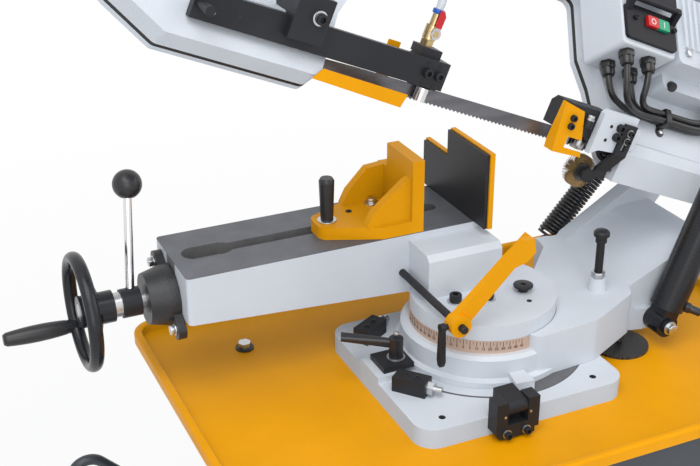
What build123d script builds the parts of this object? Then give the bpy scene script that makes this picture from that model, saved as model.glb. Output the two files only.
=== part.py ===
"""Swivel head metal cutting band saw on a cabinet stand, resting with its bow part raised.

Frame: X to the right along the vise, Y away from the operator, Z up, in millimetres.
The origin is on the floor, straight under the axis of the turntable.
"""
import os
from math import cos, pi, radians, sin, sqrt

from build123d import *

os.makedirs("parts", exist_ok=True)

# Clearances
run_gap = 0.3
fit = 0.05

# Stand and drip tray
tray_height = 690.0
stand_length = 660.0
stand_depth = 540.0
stand_wall = 3.0
stand_corner = 14.0
floor_sheet = 5.0
foot_width = 46.0
anchor_hole = 14.0
anchor_spacing_y = 460.0
tray_length = 882.0
tray_depth = 578.0
tray_sheet = 3.0
rim_height = 15.0
rim_width = 12.0
tray_corner = 36.0
tray_bolt_x = 299.0
tray_bolt_y = 171.0
washer_d = 27.0
washer_thickness = 2.5
bolt_flats = 17.0
bolt_head = 8.0
strainer_x = 206.0
strainer_y = -53.0
strainer_d = 84.0
strainer_thickness = 4.0
strainer_knob = 8.0
handle_tube = 16.0
handle_y = 200.0

# Base plate, stops and turntable
base_length = 316.0
base_depth = 301.0
base_center_x = -24.0
base_center_y = -20.5
base_thickness = 28.0
base_corner = 30.0
base_hole = 9.0
base_hole_x = 117.0
base_hole_y = 125.0
post_d = 90.0
disc_level = 90.0
disc_d = 206.0
disc_thickness = 23.0
flange_d = 248.0
flange_height = 8.0
ring_d = 232.0
scale_level = 71.0
scale_d = 208.0
scale_band = 4.0
nose_reach = 144.0
nose_height = 18.0
nose_start = -101.0
nose_sweep = 11.0
pad_width = 36.0
lock_x = -141.0
lock_y = -10.0
lock_plate_side = 44.0
lock_plate_thickness = 8.0
lock_stud = 10.0
lock_hub = 20.0
lock_hub_height = 30.0
lock_reach = 76.0
lock_turn = 154.0
front_stop = (-148.0, -72.0, -50.0)
rear_stop = (-138.0, 80.0, 30.0)
stop_block_length = 48.0
stop_block_width = 25.0
stop_block_height = 22.0
stop_bolt = 10.0
stop_bolt_length = 20.0
stop_nut = 9.0
flip_x = -55.0
flip_width = 64.0
flip_slot = 30.0
flip_depth = 22.0
flip_bottom = 4.0
flip_top = 58.0
flip_pin = 8.0
flip_pin_level = 45.0
tumbler_length = 41.0

# Vise
table_left = -410.0
table_right = 32.0
table_front = 66.5
table_back = 208.0
table_level = 188.0
table_wall = 14.0
table_deck = 18.0
beam_left_bottom = 118.0
beam_right_bottom = 97.0
block_left = -84.0
block_front = 6.0
block_level = 178.0
slot_width = 22.0
slot_right = -6.0
screw_y = 137.4
screw_z = 133.8
screw_d = 22.0
screw_end = -4.0
journal_d = 24.0
bracket_d = 85.0
bracket_length = 40.0
bracket_flange = 12.0
ear_spacing = 108.0
ear_d = 30.0
hub_x = -470.0
hub_d = 40.0
hub_length = 26.0
lever_rod = 12.0
ball_d = 40.0
ball_x = -450.0
ball_y = 180.0
ball_z = 287.0
wheel_x = -535.0
wheel_d = 164.0
wheel_rim = 16.0
wheel_hub = 44.0
wheel_hub_length = 46.0
wheel_dish = 18.0
spoke_width = 20.0
spoke_thickness = 10.0
collar_d = 34.0
grip_d = 24.0
grip_length = 86.0
grip_stud = 10.0
grip_angle = -41.4
jaw_face = -62.0
jaw_back = 180.0
jaw_foot = 18.0
jaw_height = 108.0
jaw_wall = 18.0
jaw_rib = 14.0
jaw_step = 148.0
jaw_drop = 37.0
jaw_reach = 143.0
jaw_grip_d = 22.0
jaw_grip_height = 65.0
jaw_grip_x = -186.0
jaw_grip_y = 121.0
nut_length = 44.0
nut_width = 44.0
nut_height = 38.0
fixed_face = 18.0
fixed_plate = 5.0
fixed_wall = 7.0
fixed_front = 33.0
fixed_step = 148.0
fixed_back = 224.0
fixed_top = 302.0
fixed_low_top = 260.0
rod_x = -94.0
rod_z = 130.0
rod_d = 11.0
rod_inner = 96.0
rod_tip = -116.0
arm_boss = 30.0
arm_boss_front = -106.0
arm_boss_width = 20.0
arm_reach = 139.0
arm_rise = 42.7
arm_thickness = 11.0
paddle_width = 34.0
paddle_depth = 14.0
key_length = 58.0
key_width = 13.0
key_hub = 12.0

# Swivel arm and its tower
arm_level = 92.0
arm_front = -117.0
rib_front = 122.0
rib_back = 148.0
web_front = -43.0
pivot_x = 430.0
pivot_z = 223.5
pivot_boss = 56.0
pivot_boss_back = 160.0
pivot_d = 30.0
index_x = 171.0
index_y = -33.0
index_boss = 28.0
index_boss_height = 20.0
index_pin_d = 12.0
index_knob = 23.0
index_top = 178.0
index_depth = 34.0

# Bow: rest angle above the cut, lean of the wheels, blade and wheels
rest_angle = 22.8
lean = 40.0
blade_y = 16.0
blade_z = 193.5
blade_width = 20.0
blade_thickness = 0.9
tooth_pitch = 6.4
tooth_depth = 2.4
bow_wheel_d = 250.0
idler_a = -474.5
drive_a = 312.8
wheel_width = 20.0
wheel_flange = 3.0
shell_front = 20.0
shell_back = 12.0
shell_wall = 6.0
shell_margin = 12.0
shell_foot = 27.0
seal_thickness = 6.5
cover_thickness = 8.5
beam_low = 236.0
beam_high = 286.0
throat_right = 161.5
lug_front = 104.0
lug_thickness = 16.0
lug_d = 60.0
lever_thickness = 10.0
lever_gap = 1.0
axle_d = 30.0
shaft_d = 28.0

# Blade guides
bar_left = -473.0
bar_right = -120.0
bar_low = 208.0
bar_height = 36.0
bar_front = -10.3
bar_thickness = 12.0
clamp_left = -356.0
clamp_width = 47.0
clamp_front = -24.0
clamp_top = 276.0
guide_length = 40.0
guide_back = 34.0
roller_d = 18.0
roller_height = 18.0
left_guard_left = -304.0
left_guard_right = -170.0
left_guard_low = 176.0
left_guard_top = 196.0
left_guard_tab = 247.0
left_guard_front = -20.0
guard_sheet = 2.0
manifold_left = -163.0
manifold_right = -132.0
manifold_height = 11.0
valve_x = -149.0
valve_y = 17.0
valve_body = 12.0
valve_height = 42.0
valve_lever_length = 30.0
hose_d = 8.0
right_guide_x = 84.0
right_guide_length = 58.0
right_plate_front = -26.0
right_plate_left = 132.0
right_plate_right = 193.0
right_plate_low = 187.0
right_plate_top = 252.0
right_guard_left = 68.0
right_guard_right = 128.0
right_guard_low = 175.0
right_guard_top = 245.0
right_guard_slant = 10.0
right_guard_fold = 18.0
brush_x = 163.0
brush_y = 15.0
brush_z = 153.5
brush_d = 48.0
brush_width = 14.0
brush_core = 22.0
brush_pin = 8.0
brush_rows = 6
brush_strands = 60

# Drive and control box
box_left = 144.0
box_width = 100.0
box_low = 111.0
box_height = 140.0
box_depth = 79.0
box_wall = 3.0
plate_margin = 3.0
plate_low = 119.0
plate_height = 53.0
plate_thickness = 6.0
button_width = 20.0
button_height = 16.0
button_out = 5.0
lid_height = 40.0
lid_thickness = 6.0
gear_left = 256.0
gear_right = 372.0
gear_low = 113.0
gear_high = 226.0
gear_depth = 75.0
gear_rib = 5.0
gear_rib_step = 11.5
gear_rib_count = 4
worm_left = 262.0
worm_right = 410.0
worm_low = 92.0
worm_high = 150.0
worm_depth = 35.0
shaft_reach = 30.0
motor_a = 330.0
motor_m = -73.0
motor_d = 104.0
motor_neck = 44.0
motor_length = 108.0
cowl_length = 34.0
fin_count = 24
fin_depth = 8.0
cable_d = 8.0
gland_d = 16.0
gland_length = 22.0

# Feed cylinder and lift spring
foot_x = 262.0
foot_y = -70.0
foot_z = 36.0
eye_x = 385.0
eye_z = 350.0
cylinder_d = 50.0
cylinder_wall = 5.0
cylinder_start = 24.0
cylinder_length = 208.0
cylinder_rod_d = 18.0
foot_eye = 36.0
foot_eye_width = 34.0
foot_pin = 14.0
rod_eye = 28.0
rod_eye_width = 18.0
cheek_thickness = 10.0
cheek_gap = 24.0
spring_foot_x = 216.0
spring_foot_z = 84.0
spring_head_x = 311.0
spring_head_z = 190.0
spring_d = 32.0
spring_wire = 4.0
spring_turns = 22
seat_thickness = 4.0

# Placing of the pieces: heights are measured from the tray's surface
theta = radians(rest_angle)
phi = radians(lean)
along = Vector(cos(theta), 0, -sin(theta))
upright = Vector(sin(theta), 0, cos(theta))
lean_up = upright * cos(phi) + Vector(0, sin(phi), 0)
lean_front = upright * sin(phi) - Vector(0, cos(phi), 0)


def level(z):
    return Plane.XY.offset(tray_height + z)


def facing(y):
    return Plane(origin=(0, y, tray_height), x_dir=(1, 0, 0), z_dir=(0, -1, 0))


def side(x):
    return Plane(origin=(x, 0, tray_height), x_dir=(0, 1, 0), z_dir=(1, 0, 0))


def bow_point(x, y, z):
    """Point of the bow, given where it is when the bow is lowered."""
    base = Vector(pivot_x, y, tray_height + pivot_z)
    return base + along * (x - pivot_x) + upright * (z - pivot_z)


def lean_point(a, w, m):
    """Point of the leaning wheel frame: a along the blade, w up the wheels, m to the back."""
    return bow_point(a, blade_y + w * sin(phi) + m * cos(phi), blade_z + w * cos(phi) - m * sin(phi))


def bow_side(y):
    return Plane(origin=bow_point(0, y, 0), x_dir=along, z_dir=(0, -1, 0))


def bow_level(z):
    return Plane(origin=bow_point(0, 0, z), x_dir=along, z_dir=upright)


def bow_cross(x):
    return Plane(origin=bow_point(x, 0, 0), x_dir=(0, 1, 0), z_dir=along)


def bow_face(m):
    return Plane(origin=lean_point(0, 0, m), x_dir=along, z_dir=lean_front)


def bow_up(a, w, m):
    return Plane(origin=lean_point(a, w, m), x_dir=along, z_dir=lean_up)


def outline(*points):
    Polygon(*points, align=None)


def hexagon(flats):
    RegularPolygon(radius=flats / 2, side_count=6, major_radius=False)


# Stand cabinet: folded sheet on two foot plates, open at the top under the tray
stand_top = tray_height - tray_sheet
with BuildPart() as stand_cabinet:
    with BuildSketch():
        RectangleRounded(stand_length, stand_depth, stand_corner)
    extrude(amount=stand_top)
    with BuildSketch(Plane.XY.offset(floor_sheet)):
        RectangleRounded(
            stand_length - 2 * stand_wall,
            stand_depth - 2 * stand_wall,
            stand_corner - stand_wall,
        )
    extrude(amount=stand_top, mode=Mode.SUBTRACT)
    with BuildSketch():
        with GridLocations(stand_length + foot_width, 0, 2, 1):
            Rectangle(foot_width, stand_depth - 2 * stand_corner)
        with GridLocations(stand_length + foot_width, anchor_spacing_y, 2, 2):
            Circle(anchor_hole / 2, mode=Mode.SUBTRACT)
    extrude(amount=floor_sheet)

# Push handle: one bent tube standing out from the stand's left side
handle_route = [
    (-stand_length / 2, -352),
    (-560, -114),
    (-578, -292),
    (-stand_length / 2, -420),
]
with BuildPart() as stand_handle:
    with BuildLine(facing(handle_y)) as handle_line:
        FilletPolyline(*handle_route, radius=26)
    with BuildSketch(Plane(handle_line.line @ 0, z_dir=handle_line.line % 0)):
        Circle(handle_tube / 2)
    sweep()
    with BuildSketch(side(-stand_length / 2)):
        with Locations((handle_y, -386)):
            Rectangle(handle_tube * 4, 160)
    extrude(amount=handle_tube, mode=Mode.SUBTRACT)

# Drip tray with a rolled rim
with BuildPart() as drip_tray:
    with BuildSketch(level(-tray_sheet)):
        RectangleRounded(tray_length, tray_depth, tray_corner)
    extrude(amount=tray_sheet + rim_height)
    with BuildSketch(level(0)):
        RectangleRounded(tray_length - 2 * rim_width, tray_depth - 2 * rim_width, tray_corner - rim_width)
    extrude(amount=rim_height, mode=Mode.SUBTRACT)
    fillet(drip_tray.edges().group_by(Axis.Z)[-1], radius=rim_width * 0.35)

# Drain strainer lying on the tray
with BuildPart() as strainer:
    with BuildSketch(level(0)):
        with Locations((strainer_x, strainer_y)):
            Circle(strainer_d / 2)
    extrude(amount=strainer_thickness)
    with BuildSketch(level(strainer_thickness)):
        with Locations((strainer_x, strainer_y)):
            Circle(strainer_knob / 2)
    extrude(amount=strainer_thickness)

# Base plate with the post that carries turntable and vise, and the pad of the swivel lock
flange_top = base_thickness + run_gap + flange_height
pad_top = flange_top + run_gap
base_left = base_center_x - base_length / 2
base_front = base_center_y - base_depth / 2
with BuildPart() as base_plate:
    with BuildSketch(level(0)):
        with Locations((base_center_x, base_center_y)):
            RectangleRounded(base_length, base_depth, base_corner)
            with GridLocations(2 * base_hole_x, 2 * base_hole_y, 2, 2):
                Circle(base_hole / 2, mode=Mode.SUBTRACT)
    extrude(amount=base_thickness)
    with BuildSketch(level(base_thickness)):
        Circle(post_d / 2)
    extrude(amount=disc_level - base_thickness)
    with BuildSketch(level(base_thickness)):
        with Locations((base_left + pad_width / 2, lock_y)):
            Rectangle(pad_width, lock_plate_side + 12)
    extrude(amount=pad_top - base_thickness)

# Two stop blocks for the end angles
with BuildPart() as angle_stops:
    for stop_x, stop_y, stop_turn in (front_stop, rear_stop):
        with BuildSketch(level(base_thickness)):
            with Locations(Location((stop_x, stop_y), stop_turn)):
                Rectangle(stop_block_length, stop_block_width)
        extrude(amount=stop_block_height)


# Zinc bolts: two that hold the tray, and the adjusting bolt with its nut in each stop block
def stop_end(stop_x, stop_y, stop_turn, reach):
    turn = radians(stop_turn)
    bolt_level = tray_height + base_thickness + stop_block_height / 2
    heading = Vector(cos(turn), sin(turn), 0)
    return Plane(origin=Vector(stop_x, stop_y, bolt_level) + heading * reach, x_dir=(0, 0, 1), z_dir=heading)


with BuildPart() as hex_bolts:
    with BuildSketch(level(0)):
        with GridLocations(2 * tray_bolt_x, 0, 2, 1):
            with Locations((0, tray_bolt_y)):
                Circle(washer_d / 2)
    extrude(amount=washer_thickness)
    with BuildSketch(level(washer_thickness)):
        with GridLocations(2 * tray_bolt_x, 0, 2, 1):
            with Locations((0, tray_bolt_y)):
                hexagon(bolt_flats)
    extrude(amount=bolt_head)
    for stop in (front_stop, rear_stop):
        with BuildSketch(stop_end(*stop, stop_block_length / 2)):
            hexagon(bolt_flats)
        extrude(amount=stop_nut)
        with BuildSketch(stop_end(*stop, stop_block_length / 2 + stop_nut)):
            Circle(stop_bolt / 2)
        extrude(amount=stop_bolt_length - stop_nut)

# Swivel lock: clamp plate with its stud, and the lever that tightens it
lock_top = pad_top + lock_plate_thickness
lock_left = base_left + 12.0
lock_right = -124.0
with BuildPart() as lock_plate:
    with BuildSketch(level(pad_top)):
        outline(
            (lock_left, lock_y - lock_plate_side / 2),
            (lock_right, lock_y - lock_plate_side / 2),
            (lock_right, lock_y + lock_plate_side / 2),
            (lock_left, lock_y + lock_plate_side / 2),
        )
    extrude(amount=lock_plate_thickness)
    with BuildSketch(level(lock_top)):
        with Locations((lock_x, lock_y)):
            Circle(lock_stud / 2)
    extrude(amount=lock_hub_height + run_gap)

lock_hub_top = lock_top + run_gap + lock_hub_height
lock_heading = Vector(cos(radians(lock_turn)), sin(radians(lock_turn)), 0)
lock_axis = Vector(lock_x, lock_y, tray_height)
lock_seat = (lock_hub + lock_stud) / 4
with BuildPart() as lock_lever:
    with BuildSketch(level(lock_top + run_gap)):
        with Locations((lock_x, lock_y)):
            Circle(lock_hub / 2)
    extrude(amount=lock_hub_height)
    lever_root = Plane(
        origin=lock_axis + Vector(0, 0, lock_hub_top - 8) + lock_heading * lock_seat,
        x_dir=(0, 0, 1),
        z_dir=lock_heading,
    )
    with BuildSketch(lever_root):
        RectangleRounded(13, 11, 4)
    with BuildSketch(lever_root.offset(lock_reach - lock_seat)):
        with Locations((9, 0)):
            RectangleRounded(9, 17, 4)
    loft()
    with BuildSketch(level(lock_top)):
        with Locations((lock_x, lock_y)):
            Circle(lock_stud / 2 + fit)
    extrude(amount=lock_hub_height * 2, mode=Mode.SUBTRACT)

# Flip stop: fork bolted to the base's front face with its pin, and the tumbler between the cheeks
flip_pin_y = base_front - flip_depth / 2
with BuildPart() as flip_stop_block:
    with BuildSketch(facing(base_front)):
        with Locations((flip_x, (flip_bottom + flip_top) / 2)):
            Rectangle(flip_width, flip_top - flip_bottom)
        with Locations((flip_x, flip_top)):
            Rectangle(flip_slot, 2 * (flip_top - base_thickness + 4), mode=Mode.SUBTRACT)
        with GridLocations(flip_width, 0, 2, 1):
            with Locations((flip_x, flip_bottom)):
                Rectangle(12, 16, mode=Mode.SUBTRACT)
    extrude(amount=flip_depth)
    with BuildSketch(side(flip_x - flip_slot / 2)):
        with Locations((flip_pin_y, flip_pin_level)):
            Circle(flip_pin / 2)
    extrude(amount=flip_slot)

tumbler_low = base_thickness + 2.0
with BuildPart() as flip_stop_tumbler:
    with BuildSketch(side(flip_x - flip_slot / 2 + run_gap)):
        with Locations((flip_pin_y, flip_pin_level)):
            Circle(flip_depth / 2 - 0.5)
        outline(
            (flip_pin_y, tumbler_low + 4),
            (flip_pin_y + tumbler_length - 11, tumbler_low),
            (flip_pin_y + tumbler_length - 11, flip_top),
            (flip_pin_y, flip_pin_level + flip_depth / 2 - 0.5),
        )
        with Locations((flip_pin_y, flip_pin_level)):
            Circle(flip_pin / 2 + fit, mode=Mode.SUBTRACT)
    extrude(amount=flip_slot - 2 * run_gap)

# Vise body: disc on the post, block over the turntable, and the hollow beam with its slotted table
disc_top = disc_level + disc_thickness
beam_bottom_in = block_left + 3.0
with BuildPart() as vise_body:
    with BuildSketch(level(disc_level)):
        Circle(disc_d / 2)
    extrude(amount=disc_thickness)
    with BuildSketch(facing(table_back)):
        outline(
            (table_left, beam_left_bottom),
            (beam_bottom_in, beam_right_bottom),
            (table_right, beam_right_bottom),
            (table_right, table_level),
            (table_left, table_level),
        )
    extrude(amount=table_back - table_front)
    with BuildSketch(side(block_left)):
        outline(
            (block_front, disc_top - 8),
            (table_front, beam_right_bottom),
            (table_front, block_level),
            (block_front + 8, block_level),
            (block_front, block_level - 8),
        )
    extrude(amount=table_right - block_left)
    with BuildSketch(facing(table_back - table_wall)):
        outline(
            (table_left + table_wall, 0),
            (slot_right + 6, 0),
            (slot_right + 6, table_level - table_deck),
            (table_left + table_wall, table_level - table_deck),
        )
    extrude(amount=table_back - table_front - 2 * table_wall, mode=Mode.SUBTRACT)
    with BuildSketch(level(disc_level)):
        Circle(disc_d / 2)
    extrude(amount=disc_thickness)
    with BuildSketch(level(table_level)):
        with Locations(((table_left + 24 + slot_right) / 2, screw_y)):
            SlotOverall(slot_right - table_left - 24, slot_width)
        with Locations((table_left + 52, screw_y)):
            SlotOverall(72, slot_width + 14)
    extrude(amount=-table_deck, mode=Mode.SUBTRACT)
    with BuildSketch(side(table_left)):
        with Locations((screw_y, screw_z)):
            Circle(journal_d / 2 + 2)
    extrude(amount=table_wall, mode=Mode.SUBTRACT)
    with BuildSketch(facing(table_front + table_wall)):
        with Locations((rod_x, rod_z)):
            Circle(rod_d / 2 + fit)
    extrude(amount=table_wall + 1, mode=Mode.SUBTRACT)
    fillet(vise_body.edges().filter_by(Axis.Z).group_by(Axis.X)[0], radius=6)

# Cast bracket on the vise's end, with two bolt ears and a lug
bracket_left = table_left - bracket_length
with BuildPart() as screw_bracket:
    with BuildSketch(side(table_left)):
        with Locations((screw_y, screw_z)):
            Circle(bracket_d / 2)
            SlotCenterToCenter(ear_spacing, ear_d, rotation=35)
    extrude(amount=-bracket_flange)
    with BuildSketch(side(table_left - bracket_flange)):
        with Locations((screw_y, screw_z)):
            Circle(bracket_d / 2)
    with BuildSketch(side(bracket_left)):
        with Locations((screw_y, screw_z)):
            Circle(bracket_d / 2 - 7)
    loft()
    with BuildSketch(side(bracket_left)):
        with Locations((screw_y, screw_z)):
            Circle(journal_d / 2 + fit)
    extrude(amount=bracket_length, mode=Mode.SUBTRACT)

# Clamp lever: hub on the screw's journal, chrome rod and ball
hub_center = Vector(hub_x, screw_y, tray_height + screw_z)
ball_center = Vector(ball_x, ball_y, tray_height + ball_z)
lever_heading = (ball_center - hub_center).normalized()
lever_seat = (hub_d + journal_d) / 4
with BuildPart() as clamp_lever:
    with BuildSketch(side(hub_x - hub_length / 2)):
        with Locations((screw_y, screw_z)):
            Circle(hub_d / 2)
    extrude(amount=hub_length)
    with BuildSketch(Plane(hub_center + lever_heading * lever_seat, z_dir=lever_heading)):
        Circle(lever_rod / 2)
    extrude(amount=(ball_center - hub_center).length - lever_seat - ball_d * 0.45)
    with BuildSketch(side(hub_x - hub_length / 2)):
        with Locations((screw_y, screw_z)):
            Circle(journal_d / 2 + run_gap)
    extrude(amount=hub_length, mode=Mode.SUBTRACT)
with BuildPart() as clamp_ball:
    with Locations(ball_center):
        Sphere(ball_d / 2)
    with BuildSketch(Plane(hub_center, z_dir=lever_heading)):
        Circle(lever_rod)
    extrude(amount=(ball_center - hub_center).length - ball_d * 0.45, mode=Mode.SUBTRACT)

# Vise screw with its collar, and the three-spoke handwheel on its end
hub_left = wheel_x - wheel_hub_length / 2 + wheel_dish
collar_left = hub_left + wheel_hub_length
with BuildPart() as vise_screw:
    with BuildSketch(side(hub_left)):
        with Locations((screw_y, screw_z)):
            Circle(journal_d / 2)
    extrude(amount=table_left + table_wall - hub_left)
    with BuildSketch(side(table_left + table_wall)):
        with Locations((screw_y, screw_z)):
            Circle(screw_d / 2)
    extrude(amount=screw_end - table_left - table_wall - 8)
    with BuildSketch(side(collar_left)):
        with Locations((screw_y, screw_z)):
            Circle(collar_d / 2)
    extrude(amount=hub_x - hub_length / 2 - run_gap - collar_left)

wheel_axis = Axis((wheel_x, screw_y, tray_height + screw_z), (1, 0, 0))
rim_radius = wheel_d / 2 - wheel_rim / 2
with BuildPart() as handwheel:
    with BuildSketch(facing(screw_y)):
        with Locations((wheel_x, screw_z + rim_radius)):
            Ellipse(wheel_rim / 2 + 1.5, wheel_rim / 2)
    revolve(axis=wheel_axis)
    with BuildSketch(side(hub_left)):
        with Locations((screw_y, screw_z)):
            Circle(wheel_hub / 2)
    extrude(amount=wheel_hub_length)
    spoke_root = wheel_hub / 2 - 6
    for spoke_angle in (grip_angle, grip_angle + 120, grip_angle + 240):
        turn = radians(spoke_angle)
        radial = Vector(0, cos(turn), sin(turn))
        hub_middle = Vector(wheel_x + wheel_dish, screw_y, tray_height + screw_z)
        rim_middle = Vector(wheel_x, screw_y, tray_height + screw_z)
        with BuildSketch(Plane(hub_middle + radial * spoke_root, x_dir=(1, 0, 0), z_dir=radial)):
            Ellipse(spoke_thickness / 2 + 2, spoke_width / 2 + 2)
        with BuildSketch(Plane(rim_middle + radial * rim_radius, x_dir=(1, 0, 0), z_dir=radial)):
            Ellipse(spoke_thickness / 2, spoke_width / 2 - 2)
        loft()
    grip_y = screw_y + rim_radius * cos(radians(grip_angle))
    grip_z = screw_z + rim_radius * sin(radians(grip_angle))
    grip_face = wheel_x - wheel_rim / 2 - 6
    with BuildSketch(side(grip_face)):
        with Locations((grip_y, grip_z)):
            Circle(wheel_rim * 0.6)
    extrude(amount=12)
    with BuildSketch(side(grip_face - grip_length * 0.7)):
        with Locations((grip_y, grip_z)):
            Circle(grip_stud / 2)
    extrude(amount=grip_length * 0.7 + 4)
    with BuildSketch(side(hub_left)):
        with Locations((screw_y, screw_z)):
            Circle(journal_d / 2)
    extrude(amount=wheel_hub_length, mode=Mode.SUBTRACT)

with BuildPart() as wheel_grip:
    with BuildSketch(Plane(origin=(grip_face - run_gap, grip_y, tray_height + grip_z),
                           x_dir=(-1, 0, 0), z_dir=(0, -1, 0))):
        with BuildLine():
            Polyline((0, 0), (0, grip_d * 0.42))
            Spline((0, grip_d * 0.42), (grip_length * 0.55, grip_d / 2), (grip_length - 4, grip_d * 0.4))
            Polyline((grip_length - 4, grip_d * 0.4), (grip_length, grip_d * 0.3), (grip_length, 0), (0, 0))
        make_face()
    revolve(axis=Axis((grip_face, grip_y, tray_height + grip_z), (-1, 0, 0)))
    with BuildSketch(side(grip_face)):
        with Locations((grip_y, grip_z)):
            Circle(grip_stud / 2 + fit)
    extrude(amount=-grip_length * 0.72, mode=Mode.SUBTRACT)

# Moving jaw: foot with a pointed end, stepped face wall, two ribs, and the tongue and nut under it
foot_low = table_level + run_gap
foot_top = foot_low + jaw_foot
jaw_top = table_level + jaw_height
jaw_low_top = jaw_top - jaw_drop
jaw_tip = jaw_face - jaw_reach
tongue_left = jaw_face - 84.0
tongue_length = 48.0
nut_top = screw_z + nut_height / 2
with BuildPart() as moving_jaw:
    with BuildSketch(level(foot_low)):
        outline(
            (jaw_face, table_front),
            (jaw_face, jaw_back),
            (jaw_face - 62, jaw_back),
            (jaw_tip, jaw_grip_y + 20),
            (jaw_tip, jaw_grip_y - 20),
            (jaw_face - 62, table_front),
        )
    extrude(amount=jaw_foot)
    fillet(moving_jaw.edges().filter_by(Axis.Z).group_by(Axis.X)[0], radius=16)
    with BuildSketch(side(jaw_face - jaw_wall)) as jaw_sketch:
        outline(
            (table_front, foot_top),
            (jaw_back, foot_top),
            (jaw_back, jaw_low_top),
            (jaw_step, jaw_low_top),
            (jaw_step, jaw_top),
            (table_front, jaw_top),
        )
        fillet(jaw_sketch.vertices().group_by(Axis.Y)[-2], radius=6)
    extrude(amount=jaw_wall)
    for rib_y, rib_top, shoulder in (
        (table_front + jaw_rib, jaw_low_top + 10, 6),
        (jaw_back - jaw_rib, jaw_low_top, 26),
    ):
        with BuildSketch(facing(rib_y + jaw_rib / 2)):
            outline(
                (jaw_face - jaw_wall, foot_top),
                (jaw_face - jaw_wall, rib_top),
                (jaw_face - jaw_wall - shoulder, rib_top - 2),
                (jaw_face - jaw_wall - 56, foot_top + 20),
                (jaw_face - jaw_wall - 66, foot_top),
            )
        extrude(amount=jaw_rib)
    with BuildSketch(level(nut_top)):
        with Locations((tongue_left + tongue_length / 2, screw_y)):
            Rectangle(tongue_length, slot_width - 2 * run_gap)
    extrude(amount=foot_low - nut_top)
    with BuildSketch(level(screw_z - nut_height / 2)):
        with Locations((tongue_left + nut_length / 2, screw_y)):
            Rectangle(nut_length, nut_width)
    extrude(amount=nut_height)
    with BuildSketch(side(tongue_left)):
        with Locations((screw_y, screw_z)):
            Circle(screw_d / 2 + fit)
    extrude(amount=nut_length, mode=Mode.SUBTRACT)

with BuildPart() as jaw_grip:
    with BuildSketch(level(foot_top)):
        with Locations((jaw_grip_x, jaw_grip_y)):
            Circle(jaw_grip_d / 2 - 2)
    with BuildSketch(level(foot_top + jaw_grip_height - 4)):
        with Locations((jaw_grip_x, jaw_grip_y)):
            Circle(jaw_grip_d / 2)
    loft()
    with BuildSketch(level(foot_top + jaw_grip_height - 4)):
        with Locations((jaw_grip_x, jaw_grip_y)):
            Circle(jaw_grip_d / 2)
    extrude(amount=4, taper=30)

# Fixed jaw: stepped casting with a steel face plate, re-set along the table for mitre cuts
fixed_low = table_level + run_gap
fixed_back_x = fixed_face + fixed_plate
with BuildPart() as fixed_jaw:
    with BuildSketch(side(fixed_back_x)):
        outline(
            (fixed_front, fixed_low),
            (fixed_back, fixed_low),
            (fixed_back, fixed_low_top),
            (fixed_step, fixed_low_top),
            (fixed_step, fixed_top),
            (fixed_front, fixed_top),
        )
    extrude(amount=fixed_wall)
with BuildPart() as fixed_jaw_plate:
    with BuildSketch(side(fixed_face)):
        outline(
            (fixed_front + 3, fixed_low),
            (fixed_back - 3, fixed_low),
            (fixed_back - 3, fixed_low_top - 2),
            (fixed_step, fixed_low_top - 2),
            (fixed_step, fixed_top - 2),
            (fixed_front + 3, fixed_top - 2),
        )
    extrude(amount=fixed_plate)

# Length stop: rod in the vise's front wall, hinged arm with its paddle, and the clamp key
with BuildPart() as stop_rod:
    with BuildSketch(facing(rod_inner)):
        with Locations((rod_x, rod_z)):
            Circle(rod_d / 2)
    extrude(amount=rod_inner - rod_tip)
    chamfer(stop_rod.edges().group_by(Axis.Y)[0], length=1.2)

arm_boss_back = arm_boss_front + arm_boss_width
arm_turn = radians(arm_rise)
arm_dir = Vector(cos(arm_turn), sin(arm_turn))
arm_across = Vector(-sin(arm_turn), cos(arm_turn))
arm_root = Vector(rod_x, rod_z)


def arm_corner(reach, offset):
    point = arm_root + arm_dir * reach + arm_across * offset
    return (point.X, point.Y)


with BuildPart() as stop_arm:
    with BuildSketch(facing(arm_boss_back)):
        with Locations((rod_x, rod_z)):
            Circle(arm_boss / 2)
    extrude(amount=arm_boss_width)
    with BuildSketch(facing(arm_boss_back)):
        outline(
            arm_corner(0, -arm_boss / 2 + 2),
            arm_corner(arm_reach - paddle_width, -8),
            arm_corner(arm_reach - paddle_width / 2, -paddle_width / 2),
            arm_corner(arm_reach, -paddle_width / 2),
            arm_corner(arm_reach + paddle_width / 3, 0),
            arm_corner(arm_reach, paddle_width / 3),
            arm_corner(arm_reach - paddle_width, 13),
            arm_corner(0, arm_boss / 2 - 2),
        )
    extrude(amount=arm_thickness)
    with BuildSketch(facing(arm_boss_back + paddle_depth)):
        outline(
            arm_corner(arm_reach - paddle_width / 2, -paddle_width / 2),
            arm_corner(arm_reach, -paddle_width / 2),
            arm_corner(arm_reach + paddle_width / 3, 0),
            arm_corner(arm_reach - paddle_width / 2, 0),
        )
    extrude(amount=paddle_depth)
    with BuildSketch(facing(arm_boss_back)):
        with Locations((rod_x, rod_z)):
            Circle(rod_d / 2 + fit)
    extrude(amount=arm_boss_width, mode=Mode.SUBTRACT)
    with BuildSketch(side(rod_x - arm_boss / 2 - 12)):
        with Locations(((arm_boss_front + arm_boss_back) / 2, rod_z)):
            Circle(4)
    extrude(amount=16)

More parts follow.
